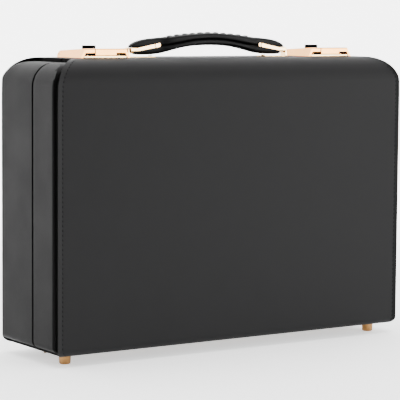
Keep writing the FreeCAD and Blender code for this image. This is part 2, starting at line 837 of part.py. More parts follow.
rim = new_body("base_rim")
rim_rings = [ring_outline(rim_outer), ring_outline(rim_outer + size.rim_thickness)]
pad(rim, "XZ_Plane", rim_rings, rim_front, rim_back, "ring")
keep(rim)

lid_room_face = front_face + step_one + room_inset
lid_pad_face = lid_room_face + size.lining_clearance + size.pad_thickness
lining = new_body("lid_lining")
lining_outer = room_inset + size.layer_gap
lining_rings = [ring_outline(lining_outer), ring_outline(lining_outer + size.lining_thickness)]
lining_end = rim_front - size.lining_thickness
pad(lining, "XZ_Plane", lining_rings, lid_pad_face + size.lining_clearance, lining_end, "ring")
keep(lining)

cushion = case_form("lid_pad", -1, room_inset + size.lining_clearance, lid_pad_face)
round_edges(cushion, size.pad_edge_radius, lambda edge: lies_at(edge, 1, lid_pad_face), "crown")
keep(cushion)

insert_inset = rim_outer + size.rim_thickness + size.lining_clearance
insert_face = split + size.insert_setback
insert = case_form("base_insert", 1, insert_inset, insert_face)
insert_x = half(size.case_width) - insert_inset
insert_low = case_bottom + step_one + insert_inset
insert_high = case_top - step_one - insert_inset
wall = size.recess_wall
left_x = -insert_x + wall
right_x = insert_x - wall
accessory_x = right_x - size.accessory_width
long_end_x = accessory_x - wall
row_one_high = insert_high - wall
row_one_low = row_one_high - size.joint_recess_width
row_two_high = row_one_low - wall
row_two_low = row_two_high - size.joint_recess_width
row_three_high = row_two_low - wall
row_three_low = insert_low + wall
bell_end_x = left_x + size.bell_recess_length
bell_neck_x = left_x + size.bell_recess_length * BELL_NECK_START_SHARE
bell_middle = half(row_three_high + row_three_low)
neck_low = bell_middle - half(size.bell_neck_width)
neck_high = bell_middle + half(size.bell_neck_width)
small_x = bell_end_x + wall
small_split = row_three_low + (row_three_high - row_three_low) * MOUTHPIECE_ROW_SHARE
corner = size.recess_corner_radius
recesses = [
    ("lower_joint", box_outline(left_x, long_end_x, row_one_low, row_one_high, corner),
     size.joint_recess_depth),
    ("upper_joint", box_outline(left_x, long_end_x, row_two_low, row_two_high, corner),
     size.joint_recess_depth),
    ("bell", [
        (left_x, row_three_low, corner),
        (bell_neck_x, neck_low, corner),
        (bell_end_x, neck_low, corner),
        (bell_end_x, neck_high, corner),
        (bell_neck_x, neck_high, corner),
        (left_x, row_three_high, corner),
    ], size.bell_recess_depth),
    ("mouthpiece", box_outline(small_x, long_end_x, small_split + half(wall), row_three_high, corner),
     size.small_recess_depth),
    ("barrel", box_outline(small_x, long_end_x, row_three_low, small_split - half(wall), corner),
     size.small_recess_depth),
    ("accessories", box_outline(accessory_x, right_x, row_three_low, row_one_high, corner),
     size.accessory_depth),
]
for name, outline, depth in recesses:
    cut(insert, "XZ_Plane", [outline], insert_face - size.overrun, insert_face + depth, name + "_recess")
keep(insert)


# Latches: plate and pin on the base, hasp with its button, striker on the lid

hasp_front = front_face + size.hasp_front_depth
pivot_y = front_face + size.hasp_pivot_depth
pivot_z = case_top + size.hasp_pivot_height
rear_radius = size.hasp_rear_height - size.hasp_pivot_height
hasp_rear = pivot_y + rear_radius
hasp_low = case_top + size.hasp_floor_gap
hasp_pin_hole = half(size.hasp_pin_diameter) + size.running_clearance
button_y = front_face + size.button_depth
striker_top = case_top + size.striker_thickness
hasp_slope = (size.hasp_front_height - size.hasp_rear_height) / (size.hasp_pivot_depth - size.hasp_front_depth)


def hasp_form(label, middle, inset):
    # Side view first, then the sloping sides; a hollow runs out through the bottom
    inset = as_size(inset)
    hollow = inset.value > 0
    body = new_body(label)
    low = case_top - size.overrun if hollow else hasp_low
    front = hasp_front + inset
    rear = hasp_rear - inset
    front_high = case_top + size.hasp_front_height - inset
    rear_high = case_top + size.hasp_rear_height - inset
    top_half = half(size.hasp_top_width) - inset
    foot_half = half(size.hasp_foot_width) - inset
    profile = [
        (front, low, 0),
        (rear, low, 0 if hollow else rear_radius - inset - size.layer_gap),
        (rear, rear_high, rear_radius - inset),
        (front, front_high, shrunk(size.hasp_corner_radius, inset)),
    ]
    pad(body, "YZ_Plane", [profile], middle - foot_half, middle + foot_half, "side_view")
    over = size.overrun
    outline = [
        (middle - foot_half, low, 0),
        (middle + foot_half, low, 0),
        (middle + top_half, front_high, 0),
        (middle - top_half, front_high, 0),
    ]
    reach = (middle - foot_half - over, middle + foot_half + over, low - over, front_high + over)
    trim(body, "XZ_Plane", outline, reach, front - over, rear + over, "sloping_sides")
    return body


def make_latch(side_name, middle):
    over = size.overrun
    outer = hasp_form("latch_hasp_form_" + side_name, middle, 0)
    tongue = half(size.tongue_width)
    tongue_low = striker_top + size.tongue_gap
    tongue_high = case_top + size.hasp_front_height
    flap = [
        (hasp_front - size.tongue_proud, tongue_low, 0),
        (hasp_front + size.hasp_sheet, tongue_low, 0),
        (hasp_front + size.hasp_sheet, tongue_high - hasp_slope * size.hasp_sheet, 0),
        (hasp_front - size.tongue_proud, tongue_high, size.hasp_corner_radius),
    ]
    pad(outer, "YZ_Plane", [flap], middle - tongue, middle + tongue, "tongue")
    opening_high = case_top + size.hasp_opening_height
    below = hasp_low - over
    lean = half(size.hasp_foot_width - size.hasp_top_width) / (tongue_high - hasp_low)
    low_half = half(size.hasp_foot_width) - size.hasp_leg_width + lean * over
    high_half = low_half - lean * (opening_high - below)
    shapes = [[
        (middle - low_half, below, 0),
        (middle + low_half, below, 0),
        (middle + high_half, opening_high, 0),
        (middle + tongue, opening_high, 0),
        (middle + tongue, tongue_low, 0),
        (middle - tongue, tongue_low, 0),
        (middle - tongue, opening_high, 0),
        (middle - high_half, opening_high, 0),
    ]]
    cut(outer, "XZ_Plane", shapes, hasp_front - over, hasp_front + over, "front_openings")
    notch_half = half(size.hasp_top_width)
    shapes = [box_outline(middle - notch_half, middle + notch_half, below, pivot_z)]
    cut(outer, "XZ_Plane", shapes, pivot_y, hasp_rear + over, "rear_notch")
    hole = half(size.button_diameter) + size.button_clearance
    shapes = [(middle, button_y, hole)]
    cut(outer, "XY_Plane", shapes, case_top, case_top + size.hasp_front_height + over, "button_hole")
    foot_half = half(size.hasp_foot_width)
    shapes = [(pivot_y, pivot_z, hasp_pin_hole)]
    cut(outer, "YZ_Plane", shapes, middle - foot_half - over, middle + foot_half + over, "pin_holes")
    hollow = hasp_form("latch_hasp_hollow_" + side_name, middle, size.hasp_sheet)
    subtract("latch_hasp_" + side_name, outer, hollow)

    button = new_body("latch_button_" + side_name)
    surface = tongue_high - hasp_slope * (size.button_depth - size.hasp_front_depth)
    button_top = surface + size.button_rise
    shapes = [(middle, button_y, half(size.button_diameter))]
    pad(button, "XY_Plane", shapes, button_top - size.button_length, button_top, "button")
    round_edges(button, size.button_edge_radius, lambda edge: lies_at(edge, 2, button_top), "edge")
    keep(button)

    plate = new_body("latch_plate_" + side_name)
    plate_half = half(size.hasp_foot_width) - size.latch_plate_side_gap
    plate_front = base_mouth + size.latch_plate_setback
    plate_back = pivot_y - size.latch_plate_pin_gap
    plate_high = case_top + size.latch_plate_thickness
    shapes = [box_outline(middle - plate_half, middle + plate_half, plate_front, plate_back)]
    pad(plate, "XY_Plane", shapes, case_top, plate_high, "sheet")
    ear_radius = size.latch_ear_radius
    ear = [
        (pivot_y - size.latch_ear_reach, case_top, 0),
        (plate_back, case_top, 0),
        (pivot_y + ear_radius, pivot_z - half(ear_radius), half(ear_radius)),
        (pivot_y + ear_radius, pivot_z + ear_radius, ear_radius * EAR_CORNER_SHARE),
        (pivot_y - ear_radius, pivot_z + ear_radius, ear_radius * EAR_CORNER_SHARE),
    ]
    for number, (low, high) in enumerate((
        (middle - plate_half, middle - plate_half + size.latch_ear_thickness),
        (middle + plate_half - size.latch_ear_thickness, middle + plate_half),
    )):
        pad(plate, "YZ_Plane", [ear], low, high, "ear_%d" % number)
    ear_hole = [(pivot_y, pivot_z, hasp_pin_hole)]
    cut(plate, "YZ_Plane", ear_hole, middle - plate_half - over, middle + plate_half + over, "pin_holes")
    screw_x = half(plate_half)
    screw_ys = (plate_front + size.screw_head_diameter, plate_back - size.screw_head_diameter)
    holes = []
    places = []
    for screw_y in screw_ys:
        for end in (-1, 1):
            x = middle + screw_x * end
            holes.append((x, screw_y, shank_radius))
            places.append((Vector(x.value, screw_y.value, plate_high.value), upright))
    cut(plate, "XY_Plane", holes, case_top - over, plate_high + over, "screw_holes")
    keep(plate)

    striker = new_body("striker_" + side_name)
    striker_half = half(size.hasp_foot_width) - size.striker_side_gap
    striker_front = front_face + size.striker_front_depth
    striker_back = lid_mouth - size.striker_setback
    shapes = [box_outline(middle - striker_half, middle + striker_half, striker_front, striker_back)]
    pad(striker, "XY_Plane", shapes, case_top, striker_top, "bar")
    round_edges(striker, size.striker_edge_radius, lambda edge: lies_at(edge, 2, striker_top), "edges")
    screw_y = half(striker_front + striker_back)
    striker_holes = []
    striker_places = []
    for end in (-1, 1):
        x = middle + half(striker_half + tongue) * end
        striker_holes.append((x, screw_y, shank_radius))
        striker_places.append((Vector(x.value, screw_y.value, striker_top.value), upright))
    cut(striker, "XY_Plane", striker_holes, case_top - over, striker_top + over, "screw_holes")
    keep(striker)
    return places, striker_places


pin_pattern = new_body("latch_pin_pattern")
pin_half = half(size.hasp_foot_width) - size.hasp_sheet - size.hasp_sheet
pad(pin_pattern, "YZ_Plane", [(0, 0, half(size.hasp_pin_diameter))], -pin_half, pin_half, "pin")

plate_screws = []
striker_screws = []
pin_places = []
mount_end = size.loop_reach + size.pivot_side_gap + size.mount_ear_thickness + size.mount_overhang
latch_offset = mount_end + size.latch_mount_gap
for side_name, middle in (("left", -latch_offset), ("right", latch_offset)):
    on_plate, on_striker = make_latch(side_name, middle)
    plate_screws += on_plate
    striker_screws += on_striker
    pin_places.append((Vector(middle.value, pivot_y.value, pivot_z.value), upright))
copies("latch_plate_screws", screw, plate_screws)
copies("striker_screws", screw, striker_screws)
copies("latch_pins", pin_pattern, pin_places)


# Carrying handle: two mounts with their pivots, two loops, the two layers of the grip, rivets

handle_z = case_top + size.handle_pivot_height
wall_out = size.loop_reach
wall_in = size.loop_reach - size.loop_wall
ear_in = size.loop_reach + size.pivot_side_gap
ear_out = ear_in + size.mount_ear_thickness
pivot_hole = half(size.pivot_diameter) + size.running_clearance
rivet_reach = size.loop_tip_reach + size.grip_rivet_inset
bend_reach = size.loop_reach - size.loop_heel
arm_low_inner = case_top + size.loop_tip_height - size.loop_arm_height
arm_low_outer = handle_z - size.loop_arm_drop
tip_top = case_top + size.loop_tip_height
wall_top = handle_z + size.loop_wall_rise
rise_share = size.grip_rivet_inset / (bend_reach - size.loop_tip_reach)
rivet_z = tip_top - half(size.loop_arm_height) - (arm_low_inner - arm_low_outer) * rise_share


def spread(end, near, far):
    # Two distances from the middle as a low and a high place along X, on side end
    return (near, far) if end > 0 else (-far, -near)


def make_mount(side_name, end):
    over = size.overrun
    body = new_body("handle_mount_" + side_name)
    low, high = spread(end, size.mount_inner_reach, mount_end)
    plate_half = half(size.mount_plate_width)
    plate_high = case_top + size.mount_plate_thickness
    shapes = [box_outline(low, high, -plate_half, plate_half, size.mount_overhang)]
    pad(body, "XY_Plane", shapes, case_top, plate_high, "plate")
    ear_half = half(size.mount_ear_width)
    head = size.mount_ear_head
    ear = [
        (-ear_half, case_top, 0),
        (ear_half, case_top, 0),
        (head, handle_z + head, head * EAR_CORNER_SHARE),
        (-head, handle_z + head, head * EAR_CORNER_SHARE),
    ]
    low, high = spread(end, ear_in, ear_out)
    pad(body, "YZ_Plane", [ear], low, high, "ear")
    cut(body, "YZ_Plane", [(0, handle_z, pivot_hole)], low - over, high + over, "pivot_hole")
    screw_reach = size.mount_inner_reach + size.screw_head_diameter
    holes = [(screw_reach * end, 0, shank_radius)]
    cut(body, "XY_Plane", holes, case_top - over, plate_high + over, "screw_hole")
    keep(body)
    return (Vector((screw_reach * end).value, 0, plate_high.value), upright)


def make_loop(side_name, end):
    over = size.overrun
    body = new_body("handle_loop_" + side_name)
    outer = size.loop_half_width
    inner = outer - size.loop_arm_thickness
    low_z = handle_z - size.loop_wall_drop
    plan = [
        (size.loop_tip_reach, outer),
        (size.loop_tip_reach, inner),
        (wall_in, inner),
        (wall_in, -inner),
        (size.loop_tip_reach, -inner),
        (size.loop_tip_reach, -outer),
        (wall_out, -outer),
        (wall_out, outer),
    ]
    corners = [(x * end, y, 0) for x, y in plan]
    if end < 0:
        corners.reverse()
    pad(body, "XY_Plane", [corners], low_z, tip_top, "strap")
    side_view = [
        (wall_out, low_z, 0),
        (wall_out, wall_top, 0),
        (bend_reach, wall_top, 0),
        (size.loop_tip_reach, tip_top, size.loop_arm_thickness),
        (size.loop_tip_reach, arm_low_inner, size.loop_arm_thickness),
        (bend_reach, arm_low_outer, 0),
    ]
    corners = [(x * end, z, radius) for x, z, radius in side_view]
    if end < 0:
        corners.reverse()
    low, high = spread(end, size.loop_tip_reach - over, wall_out + over)
    reach = (low, high, low_z - over, tip_top + over)
    trim(body, "XZ_Plane", corners, reach, -outer - over, outer + over, "side_view")
    radius = size.loop_corner_radius
    end_view = [(-outer, low_z, radius), (outer, low_z, radius), (outer, tip_top, 0), (-outer, tip_top, 0)]
    reach = (-outer - over, outer + over, low_z - over, tip_top + over)
    low, high = spread(end, size.loop_tip_reach - over, wall_out + over)
    trim(body, "YZ_Plane", end_view, reach, low, high, "end_view")
    cut(body, "YZ_Plane", [(0, handle_z, pivot_hole)], low, high, "pivot_hole")
    rivet_hole = half(size.grip_rivet_diameter) + size.running_clearance
    shapes = [(rivet_reach * end, rivet_z, rivet_hole)]
    cut(body, "XZ_Plane", shapes, -outer - over, outer + over, "rivet_holes")
    keep(body)


def make_pivot():
    # Pivot pin along X for the right side: collar inside the loop, head outside the ear
    body = new_body("handle_pivot_pattern")
    collar_out = wall_in - size.pivot_side_gap
    collar_in = collar_out - size.pivot_collar_height
    collar = half(size.pivot_collar_diameter)
    pad(body, "YZ_Plane", [(0, handle_z, half(size.pivot_diameter))], collar_in, ear_out, "pin")
    pad(body, "YZ_Plane", [(0, handle_z, collar)], collar_in, collar_out, "collar")
    head_out = ear_out + size.pivot_head_height
    pad(body, "YZ_Plane", [(0, handle_z, half(size.pivot_head_diameter))], ear_out, head_out, "head")
    dome = half(size.pivot_head_height)
    round_edges(body, dome, lambda edge: lies_at(edge, 0, head_out), "dome")
    return body


def grip_section(x, low, high, half_width):
    # Rounded section across X, of four lines and four arcs
    radius = GRIP_CORNER_SHARE * min(half_width, (high - low) / 2)
    slant = radius * (1 - math.sqrt(HALF_SHARE))
    y0, y1 = -half_width, half_width
    points = [
        ((y0 + radius, low), (y1 - radius, low), (y1 - slant, low + slant)),
        ((y1, low + radius), (y1, high - radius), (y1 - slant, high - slant)),
        ((y1 - radius, high), (y0 + radius, high), (y0 + slant, high - slant)),
        ((y0, high - radius), (y0, low + radius), (y0 + slant, low + slant)),
    ]
    edges = []
    for place, (start, end, middle) in enumerate(points):
        following = points[(place + 1) % len(points)][0]
        edges.append(Part.makeLine(Vector(x, *start), Vector(x, *end)))
        edges.append(Part.Arc(Vector(x, *end), Vector(x, *middle), Vector(x, *following)).toShape())
    return Part.Wire(edges)


def grip_place(share, shoulder_share, reach):
    # Body of the grip up to its shoulder before the arms, narrow end from there to its reach
    shoulder = (size.loop_tip_reach - size.grip_shoulder_gap).value
    if share <= shoulder_share:
        return shoulder * share / shoulder_share
    return shoulder + (reach.value - shoulder) * (share - shoulder_share) / (1 - shoulder_share)


def make_grip(label, shares, shoulder_share, reach, upper):
    crown = size.grip_crown.value
    seam = size.grip_seam.value / 2
    right = [(grip_place(share[0], shoulder_share, reach),) + share[1:] for share in shares]
    stations = [(-row[0],) + row[1:] for row in reversed(right[1:])] + right
    wires = []
    for along, top, under, wide in stations:
        low = case_top.value + under * crown + (seam if upper else 0)
        high = case_top.value + top * crown - (0 if upper else seam)
        wires.append(grip_section(along, low, high, wide * size.grip_width.value / 2))
    feature = doc.addObject("Part::Feature", label)
    feature.Label = label
    feature.Shape = Part.makeLoft(wires, True, True)
    return keep(feature)


mount_screws = [make_mount("left", -1), make_mount("right", 1)]
copies("handle_mount_screws", screw, mount_screws)
make_loop("left", -1)
make_loop("right", 1)
pivot = make_pivot()
turned = Rotation(Vector(0, 0, 1), 180)
copies("handle_pivots", pivot, [(Vector(0, 0, 0), turned), (Vector(0, 0, 0), upright)])
make_grip("handle_grip_upper", UPPER_GRIP_SHARES, UPPER_SHOULDER_SHARE, size.grip_reach, True)
make_grip("handle_grip_lower", LOWER_GRIP_SHARES, LOWER_SHOULDER_SHARE, size.grip_lower_reach, False)

rivet = new_body("grip_rivet_pattern")
rivet_half = size.loop_half_width
head_height = size.grip_rivet_head_height
pad(rivet, "XZ_Plane", [(0, 0, half(size.grip_rivet_diameter))], -rivet_half, rivet_half, "shank")
for number, (low, high) in enumerate((
    (-rivet_half - head_height, -rivet_half),
    (rivet_half, rivet_half + head_height),
)):
    pad(rivet, "XZ_Plane", [(0, 0, half(size.grip_rivet_head))], low, high, "head_%d" % number)
rivet_places = [(Vector((rivet_reach * end).value, 0, rivet_z.value), upright) for end in (-1, 1)]
copies("handle_rivets", rivet, rivet_places)


# Checks and files

doc.recompute()
for feature in doc.Objects:
    if "Invalid" in feature.State or "Error" in feature.State:
        raise ValueError(feature.Label + " failed to recompute")

os.makedirs("parts", exist_ok=True)
for feature in nodes:
    shape = feature.Shape
    if shape.isNull() or not shape.isValid() or not shape.Solids:
        raise ValueError(feature.Label + " has no valid solid")
    if len(shape.Solids) == 1:
        shape = shape.Solids[0]
    shape.exportStep("parts/" + feature.Label + ".step")
    box = shape.BoundBox
    print("%-22s %2d solids %10.1f mm3  x %7.1f %7.1f  y %6.1f %6.1f  z %6.1f %6.1f" % (
        feature.Label, len(shape.Solids), shape.Volume,
        box.XMin, box.XMax, box.YMin, box.YMax, box.ZMin, box.ZMax))
print(len(nodes), "nodes")
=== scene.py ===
import math

import bmesh
import bpy
from mathutils import Matrix, Vector


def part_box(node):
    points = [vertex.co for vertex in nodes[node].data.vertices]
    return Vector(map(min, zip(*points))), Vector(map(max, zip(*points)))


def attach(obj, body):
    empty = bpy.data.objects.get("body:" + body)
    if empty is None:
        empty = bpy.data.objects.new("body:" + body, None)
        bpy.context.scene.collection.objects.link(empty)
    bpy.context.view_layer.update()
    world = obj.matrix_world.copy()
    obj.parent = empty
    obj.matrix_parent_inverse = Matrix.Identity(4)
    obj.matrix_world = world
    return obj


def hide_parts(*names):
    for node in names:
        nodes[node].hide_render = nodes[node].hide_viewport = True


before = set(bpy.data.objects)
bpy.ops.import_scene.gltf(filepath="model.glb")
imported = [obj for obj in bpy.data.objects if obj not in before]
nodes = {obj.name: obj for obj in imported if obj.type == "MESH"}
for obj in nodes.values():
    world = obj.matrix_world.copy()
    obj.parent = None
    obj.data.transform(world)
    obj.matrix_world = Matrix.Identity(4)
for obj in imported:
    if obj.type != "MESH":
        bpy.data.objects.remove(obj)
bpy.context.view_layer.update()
mm = 0.001

# case sizes that several pieces share, in mm
caseFit = {
    "face": 50.5, "bottom": 9.0, "top": 259.0, "lidMouth": -11.5, "baseMouth": -9.5,
}


# camera, at the photograph's angle

cameraView = {
    "azimuth": 33.465, "drop": 5.634, "roll": 0.416, "distance": 1705.74, "shiftX": -5.829, "aimZ": 129.48,
    "lens": 169.44, "sensor": 36, "farthest": 50,
}


def makeCamera(view):
    azimuth, drop, roll = (math.radians(view[key]) for key in ("azimuth", "drop", "roll"))
    look = Vector((math.sin(azimuth) * math.cos(drop), math.cos(azimuth) * math.cos(drop), -math.sin(drop)))
    right = Vector((math.cos(azimuth), -math.sin(azimuth), 0))
    up = right.cross(look)
    aim = Vector((0, 0, view["aimZ"])) + right * view["shiftX"]
    rightTurned = right * math.cos(roll) + up * math.sin(roll)
    upTurned = up * math.cos(roll) - right * math.sin(roll)
    data = bpy.data.cameras.new("caseCamera")
    data.lens = view["lens"]
    data.sensor_width = view["sensor"]
    data.clip_end = view["farthest"]
    camera = bpy.data.objects.new("caseCamera", data)
    bpy.context.scene.collection.objects.link(camera)
    turn = Matrix((rightTurned, upTurned, -look)).transposed().to_4x4()
    camera.matrix_world = Matrix.Translation((aim - look * view["distance"]) * mm) @ turn
    bpy.context.scene.camera = camera


makeCamera(cameraView)
print("camera set")


# materials

def newFinish(name):
    material = bpy.data.materials.new(name)
    material.use_nodes = True
    tree = material.node_tree
    return material, tree, tree.nodes["Principled BSDF"]


def addNode(tree, kind, inputs=None, **settings):
    node = tree.nodes.new(kind)
    for key, value in settings.items():
        setattr(node, key, value)
    for key, value in (inputs or {}).items():
        node.inputs[key].default_value = value
    return node


def objectSpace(tree, stretch=(1, 1, 1)):
    place = addNode(tree, "ShaderNodeTexCoord")
    mapping = addNode(tree, "ShaderNodeMapping", {"Scale": stretch})
    tree.links.new(place.outputs["Object"], mapping.inputs["Vector"])
    return mapping.outputs["Vector"]


def noiseField(tree, space, scale, detail=3.0, roughness=0.55):
    settings = {"Scale": scale, "Detail": detail, "Roughness": roughness}
    field = addNode(tree, "ShaderNodeTexNoise", settings)
    tree.links.new(space, field.inputs["Vector"])
    return field.outputs["Fac"]


def grainField(tree, space, scale, feature="F1"):
    field = addNode(tree, "ShaderNodeTexVoronoi", {"Scale": scale, "Randomness": 1.0}, feature=feature)
    tree.links.new(space, field.inputs["Vector"])
    return field.outputs["Distance"]


def rangeOf(tree, value, low, high, fromLow=0.0, fromHigh=1.0):
    limits = {"From Min": fromLow, "From Max": fromHigh, "To Min": low, "To Max": high}
    ramp = addNode(tree, "ShaderNodeMapRange", limits)
    tree.links.new(value, ramp.inputs["Value"])
    return ramp.outputs["Result"]


def blendColours(tree, factor, first, second):
    mix = addNode(tree, "ShaderNodeMix", data_type="RGBA")
    tree.links.new(factor, mix.inputs["Factor"])
    mix.inputs["A"].default_value = (*first, 1)
    mix.inputs["B"].default_value = (*second, 1)
    return mix.outputs["Result"]


def paintFrom(tree, shader, factor, first, second):
    tree.links.new(blendColours(tree, factor, first, second), shader.inputs["Base Color"])


def roughFrom(tree, shader, value, low, high, fromLow=0.0, fromHigh=1.0):
    tree.links.new(rangeOf(tree, value, low, high, fromLow, fromHigh), shader.inputs["Roughness"])


def bumpChain(tree, shader, layers):
    # several height fields, each with its own depth in metres
    last = None
    for height, distance, strength in layers:
        bump = addNode(tree, "ShaderNodeBump", {"Distance": distance, "Strength": strength})
        tree.links.new(height, bump.inputs["Height"])
        if last is not None:
            tree.links.new(last, bump.inputs["Normal"])
        last = bump.outputs["Normal"]
    tree.links.new(last, shader.inputs["Normal"])


leatherLooks = {
    "panelLeather": {
        "dark": (0.0042, 0.0042, 0.0043), "light": (0.0058, 0.0058, 0.0060), "rough": (0.52, 0.62),
        "grain": 1250.0, "depth": 0.00006, "sheen": 0.01, "gloss": 0.062,
    },
    # painted shade: a darker copy of the leather for the panels' upright and lower edges and the wraps' right
    # margins
    "paintedShadeLeather": {
        "dark": (0.0010, 0.0010, 0.0010), "light": (0.0018, 0.0018, 0.0019), "rough": (0.46, 0.56),
        "grain": 1250.0, "depth": 0.00004, "sheen": 0.0, "gloss": 0.06,
    },
    "wrapLeather": {
        "dark": (0.0076, 0.0076, 0.0078), "light": (0.0100, 0.0100, 0.0103), "rough": (0.56, 0.66),
        "grain": 1400.0, "depth": 0.00005, "sheen": 0.01, "gloss": 0.092,
    },
    # painted highlight: a lighter, glossier copy of the wrap leather for the wraps' left margins
    "paintedLightMargin": {
        "dark": (0.0096, 0.0096, 0.0098), "light": (0.0124, 0.0124, 0.0127), "rough": (0.5, 0.6),
        "grain": 1400.0, "depth": 0.00004, "sheen": 0.01, "gloss": 0.095,
    },
    # painted shade: the stitching groove, near black and without gloss
    "paintedGrooveShade": {
        "dark": (0.0002, 0.0002, 0.0002), "light": (0.0006, 0.0006, 0.0006), "rough": (0.7, 0.8),
        "grain": 1400.0, "depth": 0.00005, "sheen": 0.0, "gloss": 0.0,
    },
    "gripLeather": {
        "dark": (0.0008, 0.0008, 0.0008), "light": (0.0018, 0.0018, 0.0019), "rough": (0.36, 0.48),
        "grain": 1600.0, "depth": 0.00007, "sheen": 0.0, "gloss": 0.09,
    },
}

# the same pebbles, creases, worn patches and pores in every leather; depths are shares of the look's depth
leatherGrain = {
    "creaseScaleShare": 0.37, "creaseDepthShare": 1.4, "creaseStrength": 0.35, "pebbleStrength": 0.55,
    "patchScale": 34.0, "patchDetail": 4.0, "patchRange": (0.3, 0.7), "patchDepth": 0.0006, "patchStrength": 0.10,
    "poreScale": 2600.0, "poreDetail": 2.0, "poreDepthShare": 0.4, "poreStrength": 0.5, "sheenRough": 0.4,
}


def leatherFinish(name, look):
    form = leatherGrain
    material, tree, shader = newFinish(name)
    space = objectSpace(tree)
    pebbles = grainField(tree, space, look["grain"])
    creases = grainField(tree, space, look["grain"] * form["creaseScaleShare"], "DISTANCE_TO_EDGE")
    patches = noiseField(tree, space, form["patchScale"], form["patchDetail"])
    pores = noiseField(tree, space, form["poreScale"], form["poreDetail"])
    worn = rangeOf(tree, patches, 0, 1, *form["patchRange"])
    paintFrom(tree, shader, worn, look["dark"], look["light"])
    roughFrom(tree, shader, patches, *look["rough"], *form["patchRange"])
    shader.inputs["Specular IOR Level"].default_value = look["gloss"]
    shader.inputs["Sheen Weight"].default_value = look["sheen"]
    shader.inputs["Sheen Roughness"].default_value = form["sheenRough"]
    bumpChain(tree, shader, (
        (patches, form["patchDepth"], form["patchStrength"]),
        (creases, look["depth"] * form["creaseDepthShare"], form["creaseStrength"]),
        (pebbles, look["depth"], form["pebbleStrength"]),
        (pores, look["depth"] * form["poreDepthShare"], form["poreStrength"]),
    ))
    return material


edgeLook = {
    "dark": (0.0002, 0.0002, 0.0002), "light": (0.0007, 0.0007, 0.0007), "rough": (0.55, 0.75), "gloss": 0.03,
    "fibreScale": 900.0, "fibreStretch": (1, 1, 0.35), "waxScale": 120.0, "depth": 0.00008,
}


def edgeFinish(look):
    # painted cut edge of the leather, nearly black and waxed; the same black is painted shade in the stitch holes
    material, tree, shader = newFinish("edgePaintAndHoleShade")
    space = objectSpace(tree)
    fibres = noiseField(tree, objectSpace(tree, look["fibreStretch"]), look["fibreScale"])
    paintFrom(tree, shader, fibres, look["dark"], look["light"])
    roughFrom(tree, shader, noiseField(tree, space, look["waxScale"]), *look["rough"])
    shader.inputs["Specular IOR Level"].default_value = look["gloss"]
    bumpChain(tree, shader, ((fibres, look["depth"], 0.5),))
    return material


threadLook = {
    "dark": (0.0002, 0.0002, 0.0002), "light": (0.0010, 0.0010, 0.0011), "rough": 0.7, "gloss": 0.02,
    "twist": {"Scale": 1500.0, "Distortion": 0.4, "Detail": 1.0}, "depth": 0.00006,
}


def threadFinish(look):
    material, tree, shader = newFinish("stitchThread")
    twist = addNode(tree, "ShaderNodeTexWave", look["twist"], wave_type="BANDS", bands_direction="DIAGONAL")
    tree.links.new(objectSpace(tree), twist.inputs["Vector"])
    paintFrom(tree, shader, twist.outputs["Fac"], look["dark"], look["light"])
    shader.inputs["Roughness"].default_value = look["rough"]
    shader.inputs["Specular IOR Level"].default_value = look["gloss"]
    bumpChain(tree, shader, ((twist.outputs["Fac"], look["depth"], 0.6),))
    return material


metalLooks = {
    "paleGold": {"base": (1.0, 0.72, 0.40), "warm": (1.0, 0.66, 0.33), "rough": (0.12, 0.22), "scratch": 0.12},
    "haspGold": {"base": (0.95, 0.47, 0.15), "warm": (0.92, 0.42, 0.12), "rough": (0.14, 0.24), "scratch": 0.12},
    "footGold": {"base": (0.36, 0.19, 0.07), "warm": (0.20, 0.10, 0.035), "rough": (0.24, 0.38), "scratch": 0.2},
    "hingeBrass": {"base": (0.16, 0.11, 0.06), "warm": (0.09, 0.06, 0.03), "rough": (0.35, 0.5), "scratch": 0.2},
}
metalWear = {
    "brushStretch": (0.04, 1, 1), "brushScale": 2600.0, "brushDetail": 2.0, "brushDepth": 0.000008,
    "tarnishScale": 150.0, "tarnishDetail": 5.0, "tarnishRange": (0.35, 0.75),
    "smudgeScale": 46.0, "smudgeRange": (0.3, 0.75), "smudgeDepth": 0.00008, "smudgeStrength": 0.06,
}


def metalFinish(name, look):
    # polished plating with faint brushing, small scratches and a little tarnish
    form = metalWear
    material, tree, shader = newFinish(name)
    space = objectSpace(tree)
    brushed = noiseField(tree, objectSpace(tree, form["brushStretch"]), form["brushScale"], form["brushDetail"])
    tarnish = noiseField(tree, space, form["tarnishScale"], form["tarnishDetail"])
    smudge = noiseField(tree, space, form["smudgeScale"])
    paintFrom(tree, shader, rangeOf(tree, tarnish, 0, 1, *form["tarnishRange"]), look["base"], look["warm"])
    roughFrom(tree, shader, smudge, *look["rough"], *form["smudgeRange"])
    shader.inputs["Metallic"].default_value = 1.0
    bumpChain(tree, shader, (
        (smudge, form["smudgeDepth"], form["smudgeStrength"]),
        (brushed, form["brushDepth"], look["scratch"]),
    ))
    return material


enamelLook = {
    "dark": (0.0008, 0.0008, 0.0009), "light": (0.0018, 0.0018, 0.002), "rough": (0.5, 0.65), "gloss": 0.01,
    "clouds": 300.0, "wear": 220.0,
}


def enamelFinish(look):
    material, tree, shader = newFinish("enamelAndOpeningShade")
    space = objectSpace(tree)
    paintFrom(tree, shader, noiseField(tree, space, look["clouds"]), look["dark"], look["light"])
    roughFrom(tree, shader, noiseField(tree, space, look["wear"]), *look["rough"])
    shader.inputs["Specular IOR Level"].default_value = look["gloss"]
    return material


plushLook = {
    "dark": (0.010, 0.012, 0.022), "light": (0.026, 0.030, 0.052), "rough": 0.92, "gloss": 0.15,
    "sheen": 0.55, "sheenRough": 0.35, "sheenTint": (0.55, 0.62, 0.85, 1),
    "pile": 1900.0, "pileDepth": 0.0004, "strokes": 28.0, "strokeDepth": 0.0008, "strokeRange": (0.32, 0.68),
}


